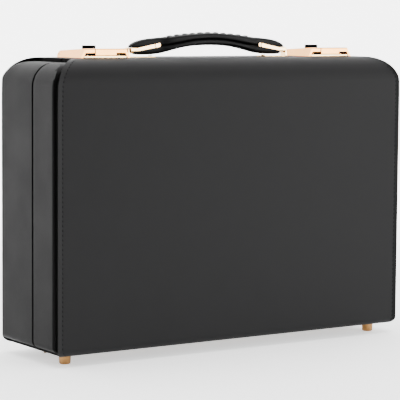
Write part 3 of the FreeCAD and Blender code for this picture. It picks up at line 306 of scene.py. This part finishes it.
def plushFinish(look):
    # short pile that lies in soft, slightly different directions
    material, tree, shader = newFinish("plushLining")
    space = objectSpace(tree)
    pile = noiseField(tree, space, look["pile"], 3.0, 0.7)
    strokes = noiseField(tree, space, look["strokes"], 4.0)
    paintFrom(tree, shader, rangeOf(tree, strokes, 0, 1, *look["strokeRange"]), look["dark"], look["light"])
    shader.inputs["Roughness"].default_value = look["rough"]
    shader.inputs["Specular IOR Level"].default_value = look["gloss"]
    shader.inputs["Sheen Weight"].default_value = look["sheen"]
    shader.inputs["Sheen Roughness"].default_value = look["sheenRough"]
    shader.inputs["Sheen Tint"].default_value = look["sheenTint"]
    bumpChain(tree, shader, ((strokes, look["strokeDepth"], 0.25), (pile, look["pileDepth"], 0.8)))
    return material


woodLook = {
    "dark": (0.40, 0.27, 0.15), "light": (0.56, 0.41, 0.25), "rough": (0.5, 0.75),
    "rings": {"Scale": 22.0, "Distortion": 5.0, "Detail": 3.0, "Detail Scale": 1.6}, "ringStretch": (0.12, 1, 1),
    "fibres": 900.0, "fibreStretch": (0.03, 1, 1), "depth": 0.0001,
}


def woodFinish(look):
    material, tree, shader = newFinish("poplarWall")
    rings = addNode(tree, "ShaderNodeTexWave", look["rings"], wave_type="BANDS", bands_direction="Z")
    tree.links.new(objectSpace(tree, look["ringStretch"]), rings.inputs["Vector"])
    fibres = noiseField(tree, objectSpace(tree, look["fibreStretch"]), look["fibres"])
    paintFrom(tree, shader, rings.outputs["Fac"], look["dark"], look["light"])
    roughFrom(tree, shader, fibres, *look["rough"])
    bumpChain(tree, shader, ((fibres, look["depth"], 0.5),))
    return material


panelLeather, paintedShadeLeather, wrapLeather, paintedLightMargin, paintedGrooveShade, gripLeather = (
    leatherFinish(name, look) for name, look in leatherLooks.items())
paleGold, haspGold, footGold, hingeBrass = (metalFinish(name, look) for name, look in metalLooks.items())
edgePaintAndHoleShade = edgeFinish(edgeLook)
stitchThread = threadFinish(threadLook)
enamelAndOpeningShade = enamelFinish(enamelLook)
plushLining = plushFinish(plushLook)
poplarWall = woodFinish(woodLook)
print("materials made")


# helpers for the pieces

def vertsOf(made):
    return [item for item in made["geom"] if isinstance(item, bmesh.types.BMVert)]


def roundOff(bm, geom, offset, steps, affect="EDGES"):
    bmesh.ops.bevel(bm, geom=geom, offset=offset, offset_type="OFFSET", affect=affect, segments=steps,
                    profile=0.5, material=-1, clamp_overlap=True)


def cutAcross(bm, along, tolerance):
    # a row of points right across, square to the depth of the case or the length of a sheet
    everything = bm.verts[:] + bm.edges[:] + bm.faces[:]
    bmesh.ops.bisect_plane(bm, geom=everything, dist=tolerance, plane_co=(0, along, 0), plane_no=(0, 1, 0))


def toMetres(bm):
    for vert in bm.verts:
        vert.co *= mm


def closeTube(bm, rings):
    # both ends capped, and neighbouring rings joined
    for end in (rings[0], rings[-1]):
        bm.faces.new(end)
    for first, second in zip(rings, rings[1:]):
        near, far = set(first), set(second)
        edges = [e for e in bm.edges if set(e.verts) <= near or set(e.verts) <= far]
        bmesh.ops.bridge_loops(bm, edges=edges)


def finishPiece(name, bm, materials, body, replaced=(), flat=40):
    bmesh.ops.remove_doubles(bm, verts=bm.verts, dist=1e-6)
    bmesh.ops.recalc_face_normals(bm, faces=bm.faces)
    mesh = bpy.data.meshes.new(name)
    bm.to_mesh(mesh)
    bm.free()
    piece = bpy.data.objects.new(name, mesh)
    bpy.context.scene.collection.objects.link(piece)
    for material in materials:
        mesh.materials.append(material)
    smoothPiece(piece, flat)
    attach(piece, body)
    if replaced:
        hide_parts(*replaced)
    return piece


def smoothPiece(piece, flat):
    mesh = piece.data
    mesh.polygons.foreach_set("use_smooth", [True] * len(mesh.polygons))
    mesh.set_sharp_from_angle(angle=math.radians(flat))


def levelShading(piece):
    # flat areas stay flat beside their rounded edges
    even = piece.modifiers.new("evenShading", "WEIGHTED_NORMAL")
    even.keep_sharp = True


def bakeModifiers(piece):
    shown = piece.evaluated_get(bpy.context.evaluated_depsgraph_get())
    mesh = bpy.data.meshes.new_from_object(shown)
    piece.modifiers.clear()
    old = piece.data
    piece.data = mesh
    bpy.data.meshes.remove(old)
    return piece


def copyOfNode(name):
    bm = bmesh.new()
    bm.from_mesh(nodes[name].data)
    bmesh.ops.remove_doubles(bm, verts=bm.verts, dist=2e-6)
    return bm


# leather wraps: cut flat, skived and grooved along the edges, then rolled round the case

wrapCut = {
    "thick": 3.3, "topHalf": 156.0, "sideHalf": 181.5, "topCorner": 25.5, "bottomCorner": 6.0,
    "roll": 21.5, "bottomRoll": 6.0, "rollRows": 16, "bottomRows": 8, "rowPitch": 17.0,
    # distance in from the cut edge, and the height there: skived edge, margin, stitching groove, face
    "sections": [
        (0.0, -0.34), (0.22, -0.13), (0.55, -0.03), (1.2, 0.0), (2.9, 0.0), (3.8, -0.05),
        (4.2, -0.38), (5.6, -0.38), (6.0, -0.05), (6.9, 0.0),
    ],
    "groove": -0.38, "margin": (0.4, 4.2), "stitchLine": 4.9,
}


def wrapRuns(side):
    # lengths of flat top, roll, face, lower roll and flat underside of one wrap
    mouth = caseFit["lidMouth"] if side < 0 else caseFit["baseMouth"]
    reach = caseFit["face"] - mouth * side
    roll, low = wrapCut["roll"], wrapCut["bottomRoll"]
    face = caseFit["top"] - caseFit["bottom"] - roll - low
    return mouth, [reach - roll, roll * math.pi / 2, face, low * math.pi / 2, reach - low]


def rollUp(side, x, along, lift):
    # where a point of the flat sheet ends up on the case
    mouth, runs = wrapRuns(side)
    face, top, bottom = caseFit["face"], caseFit["top"], caseFit["bottom"]
    roll, low = wrapCut["roll"], wrapCut["bottomRoll"]
    if along <= runs[0]:
        return Vector((x, mouth + side * along, top + lift))
    along -= runs[0]
    if along <= runs[1]:
        angle = along / roll
        deep = face - roll + (roll + lift) * math.sin(angle)
        return Vector((x, side * deep, top - roll + (roll + lift) * math.cos(angle)))
    along -= runs[1]
    if along <= runs[2]:
        return Vector((x, side * (face + lift), top - roll - along))
    along -= runs[2]
    if along <= runs[3]:
        angle = along / low
        deep = face - low + (low + lift) * math.cos(angle)
        return Vector((x, side * deep, bottom + low - (low + lift) * math.sin(angle)))
    along -= runs[3]
    return Vector((x, side * (face - low - along), bottom - lift))


def wrapRows(side):
    _, runs = wrapRuns(side)
    starts = [sum(runs[:place]) for place in range(6)]
    rows = [starts[1] + runs[1] * step / wrapCut["rollRows"] for step in range(wrapCut["rollRows"] + 1)]
    count = round(runs[2] / wrapCut["rowPitch"])
    rows += [starts[2] + runs[2] * step / count for step in range(1, count)]
    rows += [starts[3] + runs[3] * step / wrapCut["bottomRows"] for step in range(wrapCut["bottomRows"] + 1)]
    return rows, starts


def wrapHalfWidth(side, along):
    # half the sheet's width, so that its edge follows the case's rounded corners
    high = rollUp(side, 0, along, 0).z
    corner = caseFit["top"] - wrapCut["topCorner"]
    if high > corner:
        return wrapCut["topHalf"] + math.sqrt(max(0, wrapCut["topCorner"] ** 2 - (high - corner) ** 2))
    corner = caseFit["bottom"] + wrapCut["bottomCorner"]
    if high < corner:
        left = wrapCut["bottomCorner"]
        return wrapCut["sideHalf"] - left + math.sqrt(max(0, left ** 2 - (corner - high) ** 2))
    return wrapCut["sideHalf"]


def sheetInset(side, face):
    # how far a face of the flat sheet lies inside its edge
    middle = face.calc_center_median()
    _, runs = wrapRuns(side)
    return min(wrapHalfWidth(side, middle.y) - abs(middle.x), middle.y, sum(runs) - middle.y)


def flatSheet(side):
    # the flat sheet with its sections, and the ring of points just outside the stitches
    rows, starts = wrapRows(side)
    bm = bmesh.new()
    stations = [0.0] + rows + [starts[5]]
    outline = [bm.verts.new((wrapHalfWidth(side, along), along, 0)) for along in stations]
    outline += [bm.verts.new((-wrapHalfWidth(side, along), along, 0)) for along in reversed(stations)]
    sheet = bm.faces.new(outline)
    lifts = {vert: wrapCut["sections"][0][1] for vert in outline}
    done = 0.0
    for inset, lift in wrapCut["sections"][1:]:
        step = inset - done
        bmesh.ops.inset_region(bm, faces=[sheet], thickness=step, depth=0, use_even_offset=True, use_boundary=True)
        done = inset
        for vert in sheet.verts:
            lifts[vert] = lift
        if inset < wrapCut["stitchLine"]:
            seam = [vert.co.copy() for vert in sheet.verts]
    for vert, lift in lifts.items():
        vert.co.z = lift
    for along in rows:
        cutAcross(bm, along, 1e-4)
    bmesh.ops.recalc_face_normals(bm, faces=bm.faces)
    if next(iter(bm.faces)).normal.z < 0:
        bmesh.ops.reverse_faces(bm, faces=bm.faces)
    return bm, seam


def makeWrap(name, side, body, node):
    bm, seam = flatSheet(side)
    front = bm.faces[:]
    near, far = wrapCut["margin"]
    for face in front:
        if all(abs(vert.co.z - wrapCut["groove"]) < 0.01 for vert in face.verts):
            face.material_index = 2    # stitching groove, near black as painted shade
        elif near < sheetInset(side, face) < far:
            # margin, lighter on the left as painted highlight and darker on the right as painted shade
            face.material_index = 3 if face.calc_center_median().x < 0 else 4
    # thickness: the back of the sheet is a flat copy, joined along the cut edge
    outline = [e for e in bm.edges if e.is_boundary]
    grown = bmesh.ops.extrude_edge_only(bm, edges=outline)
    for vert in vertsOf(grown):
        vert.co.z = -wrapCut["thick"]
    for face in (item for item in grown["geom"] if isinstance(item, bmesh.types.BMFace)):
        face.material_index = 1    # cut edge
    copied = bmesh.ops.duplicate(bm, geom=front)["geom"]
    back = [item for item in copied if isinstance(item, bmesh.types.BMFace)]
    for vert in {vert for face in back for vert in face.verts}:
        vert.co.z = -wrapCut["thick"]
    bmesh.ops.reverse_faces(bm, faces=back)
    bmesh.ops.remove_doubles(bm, verts=bm.verts, dist=1e-4)
    for vert in bm.verts:
        vert.co = rollUp(side, vert.co.x, vert.co.y, vert.co.z) * mm
    materials = [wrapLeather, edgePaintAndHoleShade, paintedGrooveShade, paintedLightMargin, paintedShadeLeather]
    levelShading(finishPiece(name, bm, materials, body, [node], flat=32))
    return seam


stitchForm = {
    "pitch": 4.0, "start": 2.4, "inward": 0.4, "slant": 9.0,
    # half length, half width and half height, height of the middle, facets round and along
    "thread": ((1.175, 0.475, 0.36), -0.12, (6, 5)), "hole": ((0.95, 0.62, 0.16), -0.16, (6, 4)),
}


def stitchPath(loop, sign):
    # the seam on one side of the sheet, from the mouth edge on top to the one underneath
    points = sorted((p for p in loop if p.x * sign > 0), key=lambda p: p.y)
    return points[1:-1]


def alongPath(points, pitch, start):
    # evenly spaced places on a polyline, each with its direction
    places = []
    wanted, walked = start, 0.0
    for first, second in zip(points, points[1:]):
        run = (second - first).length
        while wanted <= walked + run and run > 0:
            places.append((first.lerp(second, (wanted - walked) / run), (second - first).normalized()))
            wanted += pitch
        walked += run
    return places


def bead(bm, form, place, turn):
    halves, lift, (around, along) = form
    spot = Matrix.Translation((place.x, place.y, lift)) @ turn[0] @ Matrix.Diagonal((*halves, 1)) @ turn[1]
    bmesh.ops.create_uvsphere(bm, u_segments=around, v_segments=along, radius=1, matrix=spot)


def makeStitches(name, side, loop, body):
    # a row of threads with a hole between each two; the holes are near-black beads, painted shade
    form = stitchForm
    threads, holes = bmesh.new(), bmesh.new()
    lying = Matrix.Rotation(math.pi / 2, 4, "Y")
    for sign in (-1, 1):
        path = [p + Vector((-form["inward"] * sign, 0, 0)) for p in stitchPath(loop, sign)]
        for place, direction in alongPath(path, form["pitch"], form["start"]):
            angle = math.atan2(direction.y, direction.x) + math.radians(form["slant"]) * sign
            turn = Matrix.Rotation(angle, 4, "Z")
            bead(threads, form["thread"], place, (turn, lying))
            bead(holes, form["hole"], place + direction * form["pitch"] / 2, (turn, Matrix()))
    for bm in (threads, holes):
        for vert in bm.verts:
            vert.co = rollUp(side, vert.co.x, vert.co.y, vert.co.z) * mm
    finishPiece(name, threads, [stitchThread], body, flat=180)
    finishPiece(name + "Holes", holes, [edgePaintAndHoleShade], body, flat=180)


for name, side, body, node in (("lidWrap", -1, "lid", "lid_wrap"), ("baseWrap", 1, "base", "base_wrap")):
    seam = makeWrap(name, side, body, node)
    makeStitches(name + "Stitches", side, seam, body)
print("wraps rolled and stitched")


# side panels: leather over the wooden box, with a soft lip at the mouth

panelTrim = {
    "lip": 0.6, "lipSteps": 3, "sharp": 1.2, "shadeTurn": 0.12, "under": 0.25, "even": 44.2, "rowPitch": 6.0,
    # middle across, middle height and radius of each turned-in corner, and which way it turns
    "corners": [(163.2, 234.7, 20.8, 1), (178.5, 18.0, 5.5, -1)], "sag": 0.3,
}


def trueCorners(bm, side, mouth):
    # rows of short facets on the turned-in corners, so that they shade as true arcs
    trim = panelTrim
    span = trim["even"] - mouth * side / mm
    count = round(span / trim["rowPitch"])
    for step in range(1, count + 1):
        cutAcross(bm, mouth + side * span * step / count * mm, 1e-6)
    for centreX, centreZ, radius, turn in trim["corners"]:
        for vert in bm.verts:
            away = Vector((abs(vert.co.x) / mm - centreX, (vert.co.z / mm - centreZ) * turn))
            straight = abs(vert.co.y) / mm < trim["even"] + 0.01
            if min(away) > 0 and straight and radius - trim["sag"] < away.length < radius:
                away *= radius / away.length
                vert.co.x = math.copysign(centreX + away.x, vert.co.x) * mm
                vert.co.z = (centreZ + away.y * turn) * mm


def makePanels(name, side, body, node):
    trim = panelTrim
    bm = copyOfNode(node)
    mouth = (caseFit["lidMouth"] if side < 0 else caseFit["baseMouth"]) * mm
    bmesh.ops.dissolve_limit(bm, angle_limit=math.radians(0.05), verts=bm.verts, edges=bm.edges)
    trueCorners(bm, side, mouth)
    rim = [e for e in bm.edges if all(abs(v.co.y - mouth) < 1e-5 for v in e.verts)]
    lip = [e for e in rim if e.is_manifold and e.calc_face_angle() > trim["sharp"]]
    roundOff(bm, lip, trim["lip"] * mm, trim["lipSteps"])
    for face in bm.faces:
        if face.calc_center_median().y * side < (mouth + 2e-5 * side) * side:
            face.material_index = 1    # painted cut edge along the groove
        elif abs(face.normal.y) > trim["shadeTurn"] or face.normal.z < -trim["under"]:
            face.material_index = 2    # upright and lower edges, darker as painted shade
    materials = [panelLeather, edgePaintAndHoleShade, paintedShadeLeather]
    levelShading(finishPiece(name, bm, materials, body, [node], flat=32))


makePanels("lidPanels", -1, "lid", "lid_cover")
makePanels("basePanels", 1, "base", "base_cover")
print("side panels covered")


# soft pieces inside: fitted insert, cushion and lining under short plush

insertForm = {"cell": 2.6, "soften": 5, "fill": 0.9}
cushionForm = {
    "cell": 5.0, "slack": 1.4, "quality": 5, "mass": 0.3, "pressure": 4.0, "frames": 20, "cap": 5.0, "held": 6.0,
    "fill": 0.6,
}
liningForm = {
    "half": 177.4, "low": 19.1, "high": 248.9, "corner": 14.4, "lowCorner": 1.5, "cornerSteps": 10,
    "start": -23.1, "end": -16.8, "rows": 3, "thick": 1.0, "fill": 1.0,
}


def remeshed(piece, cell):
    grid = piece.modifiers.new("grid", "REMESH")
    grid.mode = "VOXEL"
    grid.voxel_size = cell * mm
    return bakeModifiers(piece)


def makeInsert():
    form = insertForm
    bm = copyOfNode("base_insert")
    piece = finishPiece("plushInsert", bm, [plushLining], "base", ["base_insert"], flat=180)
    remeshed(piece, form["cell"])
    bm = bmesh.new()
    bm.from_mesh(piece.data)
    for _ in range(form["soften"]):
        bmesh.ops.smooth_vert(bm, verts=bm.verts, factor=0.5, use_axis_x=True, use_axis_y=True, use_axis_z=True)
    bm.to_mesh(piece.data)
    bm.free()
    smoothPiece(piece, 180)


def swell(piece, form):
    # foam pushes the cover out; the glued back stays where it is
    start = [vert.co.copy() for vert in piece.data.vertices]
    back = min(co.y for co in start)
    held = piece.vertex_groups.new(name="held")
    held.add([place for place, co in enumerate(start) if co.y < back + form["held"] * mm], 1.0, "REPLACE")
    cloth = piece.modifiers.new("foam", "CLOTH")
    cloth.settings.quality = form["quality"]
    cloth.settings.mass = form["mass"]
    cloth.settings.use_pressure = True
    cloth.settings.uniform_pressure_force = form["pressure"]
    cloth.settings.vertex_group_mass = "held"
    cloth.settings.effector_weights.gravity = 0
    cloth.point_cache.frame_end = form["frames"]
    scene = bpy.context.scene
    for step in range(1, form["frames"] + 1):
        scene.frame_set(step)
    bakeModifiers(piece)
    scene.frame_set(1)
    for vert, first in zip(piece.data.vertices, start):
        move = vert.co - first
        if move.length > form["cap"] * mm:
            vert.co = first + move.normalized() * form["cap"] * mm


def makeCushion():
    form = cushionForm
    bm = copyOfNode("lid_pad")
    low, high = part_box("lid_pad")
    middle = (Vector(low) + Vector(high)) / 2
    span = Vector(high) - Vector(low)
    shrink = Vector([(length - 2 * form["slack"] * mm) / length for length in span])
    bmesh.ops.translate(bm, verts=bm.verts, vec=-middle)
    bmesh.ops.scale(bm, verts=bm.verts, vec=shrink)
    bmesh.ops.translate(bm, verts=bm.verts, vec=middle - Vector((0, form["slack"] * mm, 0)))
    piece = finishPiece("lidCushion", bm, [plushLining], "lid", ["lid_pad"], flat=180)
    remeshed(piece, form["cell"])
    swell(piece, form)
    softer = piece.modifiers.new("round", "SUBSURF")
    softer.levels = softer.render_levels = 1
    bakeModifiers(piece)
    smoothPiece(piece, 180)


def makeLining():
    form = liningForm
    bm = bmesh.new()
    half, low, high = form["half"], form["low"], form["high"]
    places = ((-half, low), (half, low), (half, high), (-half, high))
    corners = [bm.verts.new((x, form["start"], z)) for x, z in places]
    bm.faces.new(corners)
    for pair, radius in ((corners[:2], form["lowCorner"]), (corners[2:], form["corner"])):
        roundOff(bm, pair, radius, form["cornerSteps"], "VERTICES")
    bmesh.ops.delete(bm, geom=bm.faces[:], context="FACES_ONLY")
    edges = bm.edges[:]
    for _ in range(form["rows"]):
        grown = bmesh.ops.extrude_edge_only(bm, edges=edges)
        edges = [item for item in grown["geom"] if isinstance(item, bmesh.types.BMEdge) and item.is_boundary]
        bmesh.ops.translate(bm, verts=vertsOf(grown), vec=(0, (form["end"] - form["start"]) / form["rows"], 0))
    bmesh.ops.recalc_face_normals(bm, faces=bm.faces)
    first = bm.faces[:][0]
    if first.normal.dot(first.calc_center_median() - Vector((0, form["start"], (low + high) / 2))) > 0:
        bmesh.ops.reverse_faces(bm, faces=bm.faces)
    bmesh.ops.solidify(bm, geom=bm.faces, thickness=form["thick"])
    toMetres(bm)
    piece = finishPiece("lidLining", bm, [plushLining], "lid", ["lid_lining"])


makeInsert()
makeCushion()
makeLining()
print("plush laid in")


# grip: two leather layers over a core, laced along the top

gripForm = {
    "reach": 82.5, "lowerReach": 79.5, "crown": 21.7, "width": 14.0, "base": 259.0, "seam": -0.5, "ring": 20,
    "upperSquare": 0.62, "lowerSquare": 0.66,
    # distance from the middle, top, underside and half width, as shares of the reach, crown, crown and half width
    "upper": [
        (0.0, 1.0, 0.737, 1.0), (0.09, 0.993, 0.733, 1.0), (0.18, 0.967, 0.712, 1.0),
        (0.27, 0.945, 0.668, 1.0), (0.35, 0.922, 0.612, 1.0), (0.43, 0.883, 0.56, 0.97),
        (0.5, 0.85, 0.515, 0.92), (0.57, 0.823, 0.484, 0.74), (0.625, 0.803, 0.466, 0.53),
        (0.72, 0.777, 0.44, 0.53), (0.82, 0.738, 0.417, 0.53), (0.905, 0.668, 0.404, 0.53),
        (0.96, 0.582, 0.402, 0.5), (0.99, 0.5, 0.408, 0.42), (1.0, 0.455, 0.42, 0.33),
    ],
    "lower": [
        (0.0, 0.737, 0.479, 1.0), (0.1, 0.731, 0.474, 1.0), (0.19, 0.71, 0.459, 1.0),
        (0.28, 0.66, 0.43, 0.99), (0.36, 0.606, 0.389, 0.96), (0.44, 0.556, 0.33, 0.92),
        (0.52, 0.512, 0.262, 0.86), (0.6, 0.481, 0.185, 0.7), (0.65, 0.463, 0.15, 0.55),
        (0.75, 0.436, 0.105, 0.53), (0.88, 0.405, 0.095, 0.53), (0.97, 0.398, 0.105, 0.5),
        (1.0, 0.385, 0.13, 0.38),
    ],
}


def gripShape(key, station):
    # top, underside and half width of a layer at a distance from the middle, in mm
    reach = gripForm["reach"] if key == "upper" else gripForm["lowerReach"]
    share = min(abs(station) / reach, 1.0)
    table = gripForm[key]
    for first, second in zip(table, table[1:]):
        if share <= second[0]:
            part = (share - first[0]) / (second[0] - first[0])
            top, under, wide = (a + (b - a) * part for a, b in zip(first[1:], second[1:]))
            break
    base, crown = gripForm["base"], gripForm["crown"]
    return base + top * crown, base + under * crown, wide * gripForm["width"] / 2


def ring(bm, steps, axis):
    # a circle of points round the X axis (turned about Y) or round the Y axis (turned about X)
    turn = Matrix.Rotation(math.pi / 2, 4, axis)
    return bmesh.ops.create_circle(bm, segments=steps, radius=1, cap_ends=False, matrix=turn)["verts"]


def ovalRing(bm, x, low, high, half, squareness, steps):
    # one rounded section across the grip
    made = ring(bm, steps, "Y")
    for vert in made:
        across = math.copysign(abs(vert.co.y) ** squareness, vert.co.y)
        up = math.copysign(abs(vert.co.z) ** squareness, vert.co.z)
        vert.co = Vector((x, across * half, (low + high) / 2 + up * (high - low) / 2))
    return made


def makeGripLayer(name, key, node):
    form = gripForm
    upper = key == "upper"
    reach = form["reach"] if upper else form["lowerReach"]
    squareness = form["upperSquare"] if upper else form["lowerSquare"]
    shares = [row[0] for row in form[key]]
    stations = [-share * reach for share in reversed(shares[1:])] + [share * reach for share in shares]
    bm = bmesh.new()
    rings = []
    for x in stations:
        high, low, half = gripShape(key, x)
        if upper:
            low += form["seam"]
        else:
            high -= form["seam"]
        rings.append(ovalRing(bm, x, low, high, half, squareness, form["ring"]))
    closeTube(bm, rings)
    toMetres(bm)
    piece = finishPiece(name, bm, [gripLeather], "handle", [node], flat=180)
    softer = piece.modifiers.new("round", "SUBSURF")
    softer.levels = softer.render_levels = 2
    bakeModifiers(piece)
    smoothPiece(piece, 180)


laceForm = {
    "reach": 40.5, "count": 11, "width": 6.2, "height": 1.3, "spread": 4.9, "slant": 0.55,
    "steps": 4, "ring": 8, "bow": 0.42, "sunk": 0.32, "proud": 0.3, "thinEnds": 0.45,
}


def makeLaces():
    # flat lace that whips over the top of the grip
    form = laceForm
    bm = bmesh.new()
    for number in range(form["count"]):
        x = form["reach"] * (2 * number / (form["count"] - 1) - 1)
        rings = []
        for step in range(2 * form["steps"] + 1):
            part = step / form["steps"] - 1
            across = part * form["spread"]
            spot = x + part * form["slant"] * form["spread"]
            high, low, half = gripShape("upper", spot)
            arch = math.sqrt(max(0.0, 1 - (across / half) ** 2)) if half > abs(across) else 0
            lift = high - (1 - arch) * (high - low) * form["bow"] - form["sunk"]
            thick = form["height"] * (1 - form["thinEnds"] * part ** 4)
            section = ring(bm, form["ring"], "X")
            for vert in section:
                wide = vert.co.x * form["width"] / 2
                vert.co = Vector((spot + wide, across, lift + vert.co.z * thick / 2 + thick * form["proud"]))
            rings.append(section)
        closeTube(bm, rings)
    toMetres(bm)
    finishPiece("gripLacing", bm, [gripLeather], "handle", flat=180)


makeGripLayer("gripUpper", "upper", "handle_grip_upper")
makeGripLayer("gripLower", "lower", "handle_grip_lower")
makeLaces()
print("grip laced")


# finishes of the CAD pieces that stay

nodeFinishes = {
    # start of the node's name, and its finish; the other nodes are pale gold
    "feet": footGold, "latch_hasp": haspGold, "latch_button": enamelAndOpeningShade, "hinge": hingeBrass,
    "base_shell": poplarWall, "lid_shell": poplarWall, "base_rim": gripLeather,
}
edgeBreaks = {
    "latch_hasp": 0.22, "striker": 0.2, "latch_plate": 0.15, "handle_mount": 0.2, "handle_loop": 0.25,
}
softEdge = {"steps": 2, "angle": 50}


def startingWith(table, name):
    # the table's entry for this node, by the start of its name
    return next((entry for start, entry in table.items() if name.startswith(start)), None)


def paintNodes():
    for name, piece in nodes.items():
        if not piece.hide_render:
            piece.data.materials.clear()
            piece.data.materials.append(startingWith(nodeFinishes, name) or paleGold)


def breakEdges():
    # sheet-metal edges are broken slightly, so that they catch the light
    for name, piece in nodes.items():
        width = startingWith(edgeBreaks, name)
        if width:
            weld = piece.modifiers.new("weld", "WELD")
            weld.merge_threshold = 2e-6
            soft = piece.modifiers.new("soft", "BEVEL")
            soft.width = width * mm
            soft.segments = softEdge["steps"]
            soft.limit_method = "ANGLE"
            soft.angle_limit = math.radians(softEdge["angle"])
            piece.data.set_sharp_from_angle(angle=math.radians(softEdge["angle"]))
            levelShading(piece)


paintNodes()
breakEdges()
print("metal parts finished")


# dark sheet behind each hasp's front openings: painted shade that keeps the openings dark

openingShade = {
    "middle": 120.0, "half": 18.6, "front": -11.2, "thick": 0.8, "low": 260.2, "high": 265.4,
    "corner": 1.5, "cornerSteps": 4,
}


def makeOpeningShade(name, side, body):
    form = openingShade
    bm = bmesh.new()
    middle = form["middle"] * side
    places = ((-1, "low"), (1, "low"), (1, "high"), (-1, "high"))
    corners = [bm.verts.new((middle + x * form["half"], form["front"], form[z])) for x, z in places]
    bm.faces.new(corners)
    roundOff(bm, corners[2:], form["corner"], form["cornerSteps"], "VERTICES")
    grown = bmesh.ops.extrude_face_region(bm, geom=bm.faces[:])
    bmesh.ops.translate(bm, verts=vertsOf(grown), vec=(0, form["thick"], 0))
    toMetres(bm)
    # near-black enamel look, used here as painted shade inside the hasp
    finishPiece(name, bm, [enamelAndOpeningShade], body, flat=30)


makeOpeningShade("openingShadeLeft", -1, "hasp_left")
makeOpeningShade("openingShadeRight", 1, "hasp_right")

# enamelled caps of the push buttons, with a rounded top edge

capForm = {"rise": 1.6, "sunk": 0.4, "clear": 0.05, "edge": 0.45, "edgeSteps": 3, "around": 48}


def makeButtonCap(name, node, body):
    form = capForm
    low, high = (Vector(corner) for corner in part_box(node))
    middle = (low + high) / 2
    radius = (high.x - low.x) / 2 - form["clear"] * mm
    deep = (form["rise"] + form["sunk"]) * mm
    spot = Matrix.Translation((middle.x, middle.y, high.z + form["rise"] * mm - deep / 2))
    bm = bmesh.new()
    bmesh.ops.create_cone(
        bm, cap_ends=True, segments=form["around"], radius1=radius, radius2=radius, depth=deep, matrix=spot)
    top = [e for e in bm.edges if all(vert.co.z > spot.translation.z for vert in e.verts)]
    roundOff(bm, top, form["edge"] * mm, form["edgeSteps"])
    finishPiece(name, bm, [enamelAndOpeningShade], body)


makeButtonCap("buttonCapLeft", "latch_button_left", "button_left")
makeButtonCap("buttonCapRight", "latch_button_right", "button_right")
print("latches closed")


# stage and light, for the picture only

stageSet = {
    "floorFront": 0.75, "floorBack": 2.6, "width": 9.5, "wallHigh": 6.0, "bend": 0.9, "bendSteps": 12,
    "paper": (0.93, 0.93, 0.93, 1), "rough": 0.9, "gloss": 0.1, "glow": (0.9, 3.6), "glowReach": (0.45, 1.2),
}
lightSet = [
    # name, place, aim, size, power
    ("sideBox", (-2.1, 1.0, 1.4), (0, 0, 0.13), (1.6, 1.8), 26),
    ("topBox", (0.0, 0.1, 2.3), (0, 0, 0.1), (2.4, 2.2), 75),
    ("frontBox", (1.3, -1.85, 0.66), (0, 0, 0.2), (1.5, 1.2), 54),
]
skyLight = {"low": 0.12, "high": 1.0, "from": 0.25, "to": 0.7}


def makeStage():
    bm = bmesh.new()
    back, bend = stageSet["floorBack"], stageSet["bend"]
    points = [Vector((0, -stageSet["floorFront"], 0)), Vector((0, back, 0))]
    for step in range(1, stageSet["bendSteps"] + 1):
        angle = math.pi / 2 * step / stageSet["bendSteps"]
        points.append(Vector((0, back + bend * math.sin(angle), bend * (1 - math.cos(angle)))))
    points.append(Vector((0, back + bend, stageSet["wallHigh"])))
    line = [bm.verts.new(p - Vector((stageSet["width"], 0, 0))) for p in points]
    edges = [bm.edges.new(pair) for pair in zip(line, line[1:])]
    grown = bmesh.ops.extrude_edge_only(bm, edges=edges)
    bmesh.ops.translate(bm, verts=vertsOf(grown), vec=(2 * stageSet["width"], 0, 0))
    bmesh.ops.recalc_face_normals(bm, faces=bm.faces)
    # the sweep is turned so that its wall stands square behind the case, seen from the camera
    turn = Matrix.Rotation(-math.radians(cameraView["azimuth"]), 3, "Z")
    bmesh.ops.rotate(bm, verts=bm.verts, cent=(0, 0, 0), matrix=turn)
    mesh = bpy.data.meshes.new("paperSweep")
    bm.to_mesh(mesh)
    bm.free()
    mesh.polygons.foreach_set("use_smooth", [True] * len(mesh.polygons))
    sweep = bpy.data.objects.new("paperSweep", mesh)
    bpy.context.scene.collection.objects.link(sweep)
    material, tree, shader = newFinish("paperWhite")
    shader.inputs["Base Color"].default_value = stageSet["paper"]
    shader.inputs["Roughness"].default_value = stageSet["rough"]
    shader.inputs["Specular IOR Level"].default_value = stageSet["gloss"]
    shader.inputs["Emission Color"].default_value = (1, 1, 1, 1)
    place = addNode(tree, "ShaderNodeTexCoord")
    away = addNode(tree, "ShaderNodeVectorMath", operation="LENGTH")
    tree.links.new(place.outputs["Object"], away.inputs[0])
    glow = rangeOf(tree, away.outputs["Value"], *stageSet["glow"], *stageSet["glowReach"])
    tree.links.new(glow, shader.inputs["Emission Strength"])
    mesh.materials.append(material)


def makeLights():
    for name, place, aim, extent, power in lightSet:
        data = bpy.data.lights.new(name, "AREA")
        data.shape = "RECTANGLE"
        data.size, data.size_y = extent
        data.energy = power
        lamp = bpy.data.objects.new(name, data)
        lamp.location = place
        lamp.rotation_mode = "QUATERNION"
        lamp.rotation_quaternion = (Vector(aim) - Vector(place)).to_track_quat("-Z", "Y")
        bpy.context.scene.collection.objects.link(lamp)


def makeSky():
    # white all round, brighter towards the zenith
    form = skyLight
    world = bpy.data.worlds.new("studio")
    world.use_nodes = True
    tree = world.node_tree
    backdrop = tree.nodes["Background"]
    backdrop.inputs["Color"].default_value = (1, 1, 1, 1)
    sky = addNode(tree, "ShaderNodeTexCoord")
    split = addNode(tree, "ShaderNodeSeparateXYZ")
    tree.links.new(sky.outputs["Generated"], split.inputs["Vector"])
    strength = rangeOf(tree, split.outputs["Z"], form["low"], form["high"], form["from"], form["to"])
    tree.links.new(strength, backdrop.inputs["Strength"])
    bpy.context.scene.world = world


makeStage()
makeLights()
makeSky()
print("stage lit")
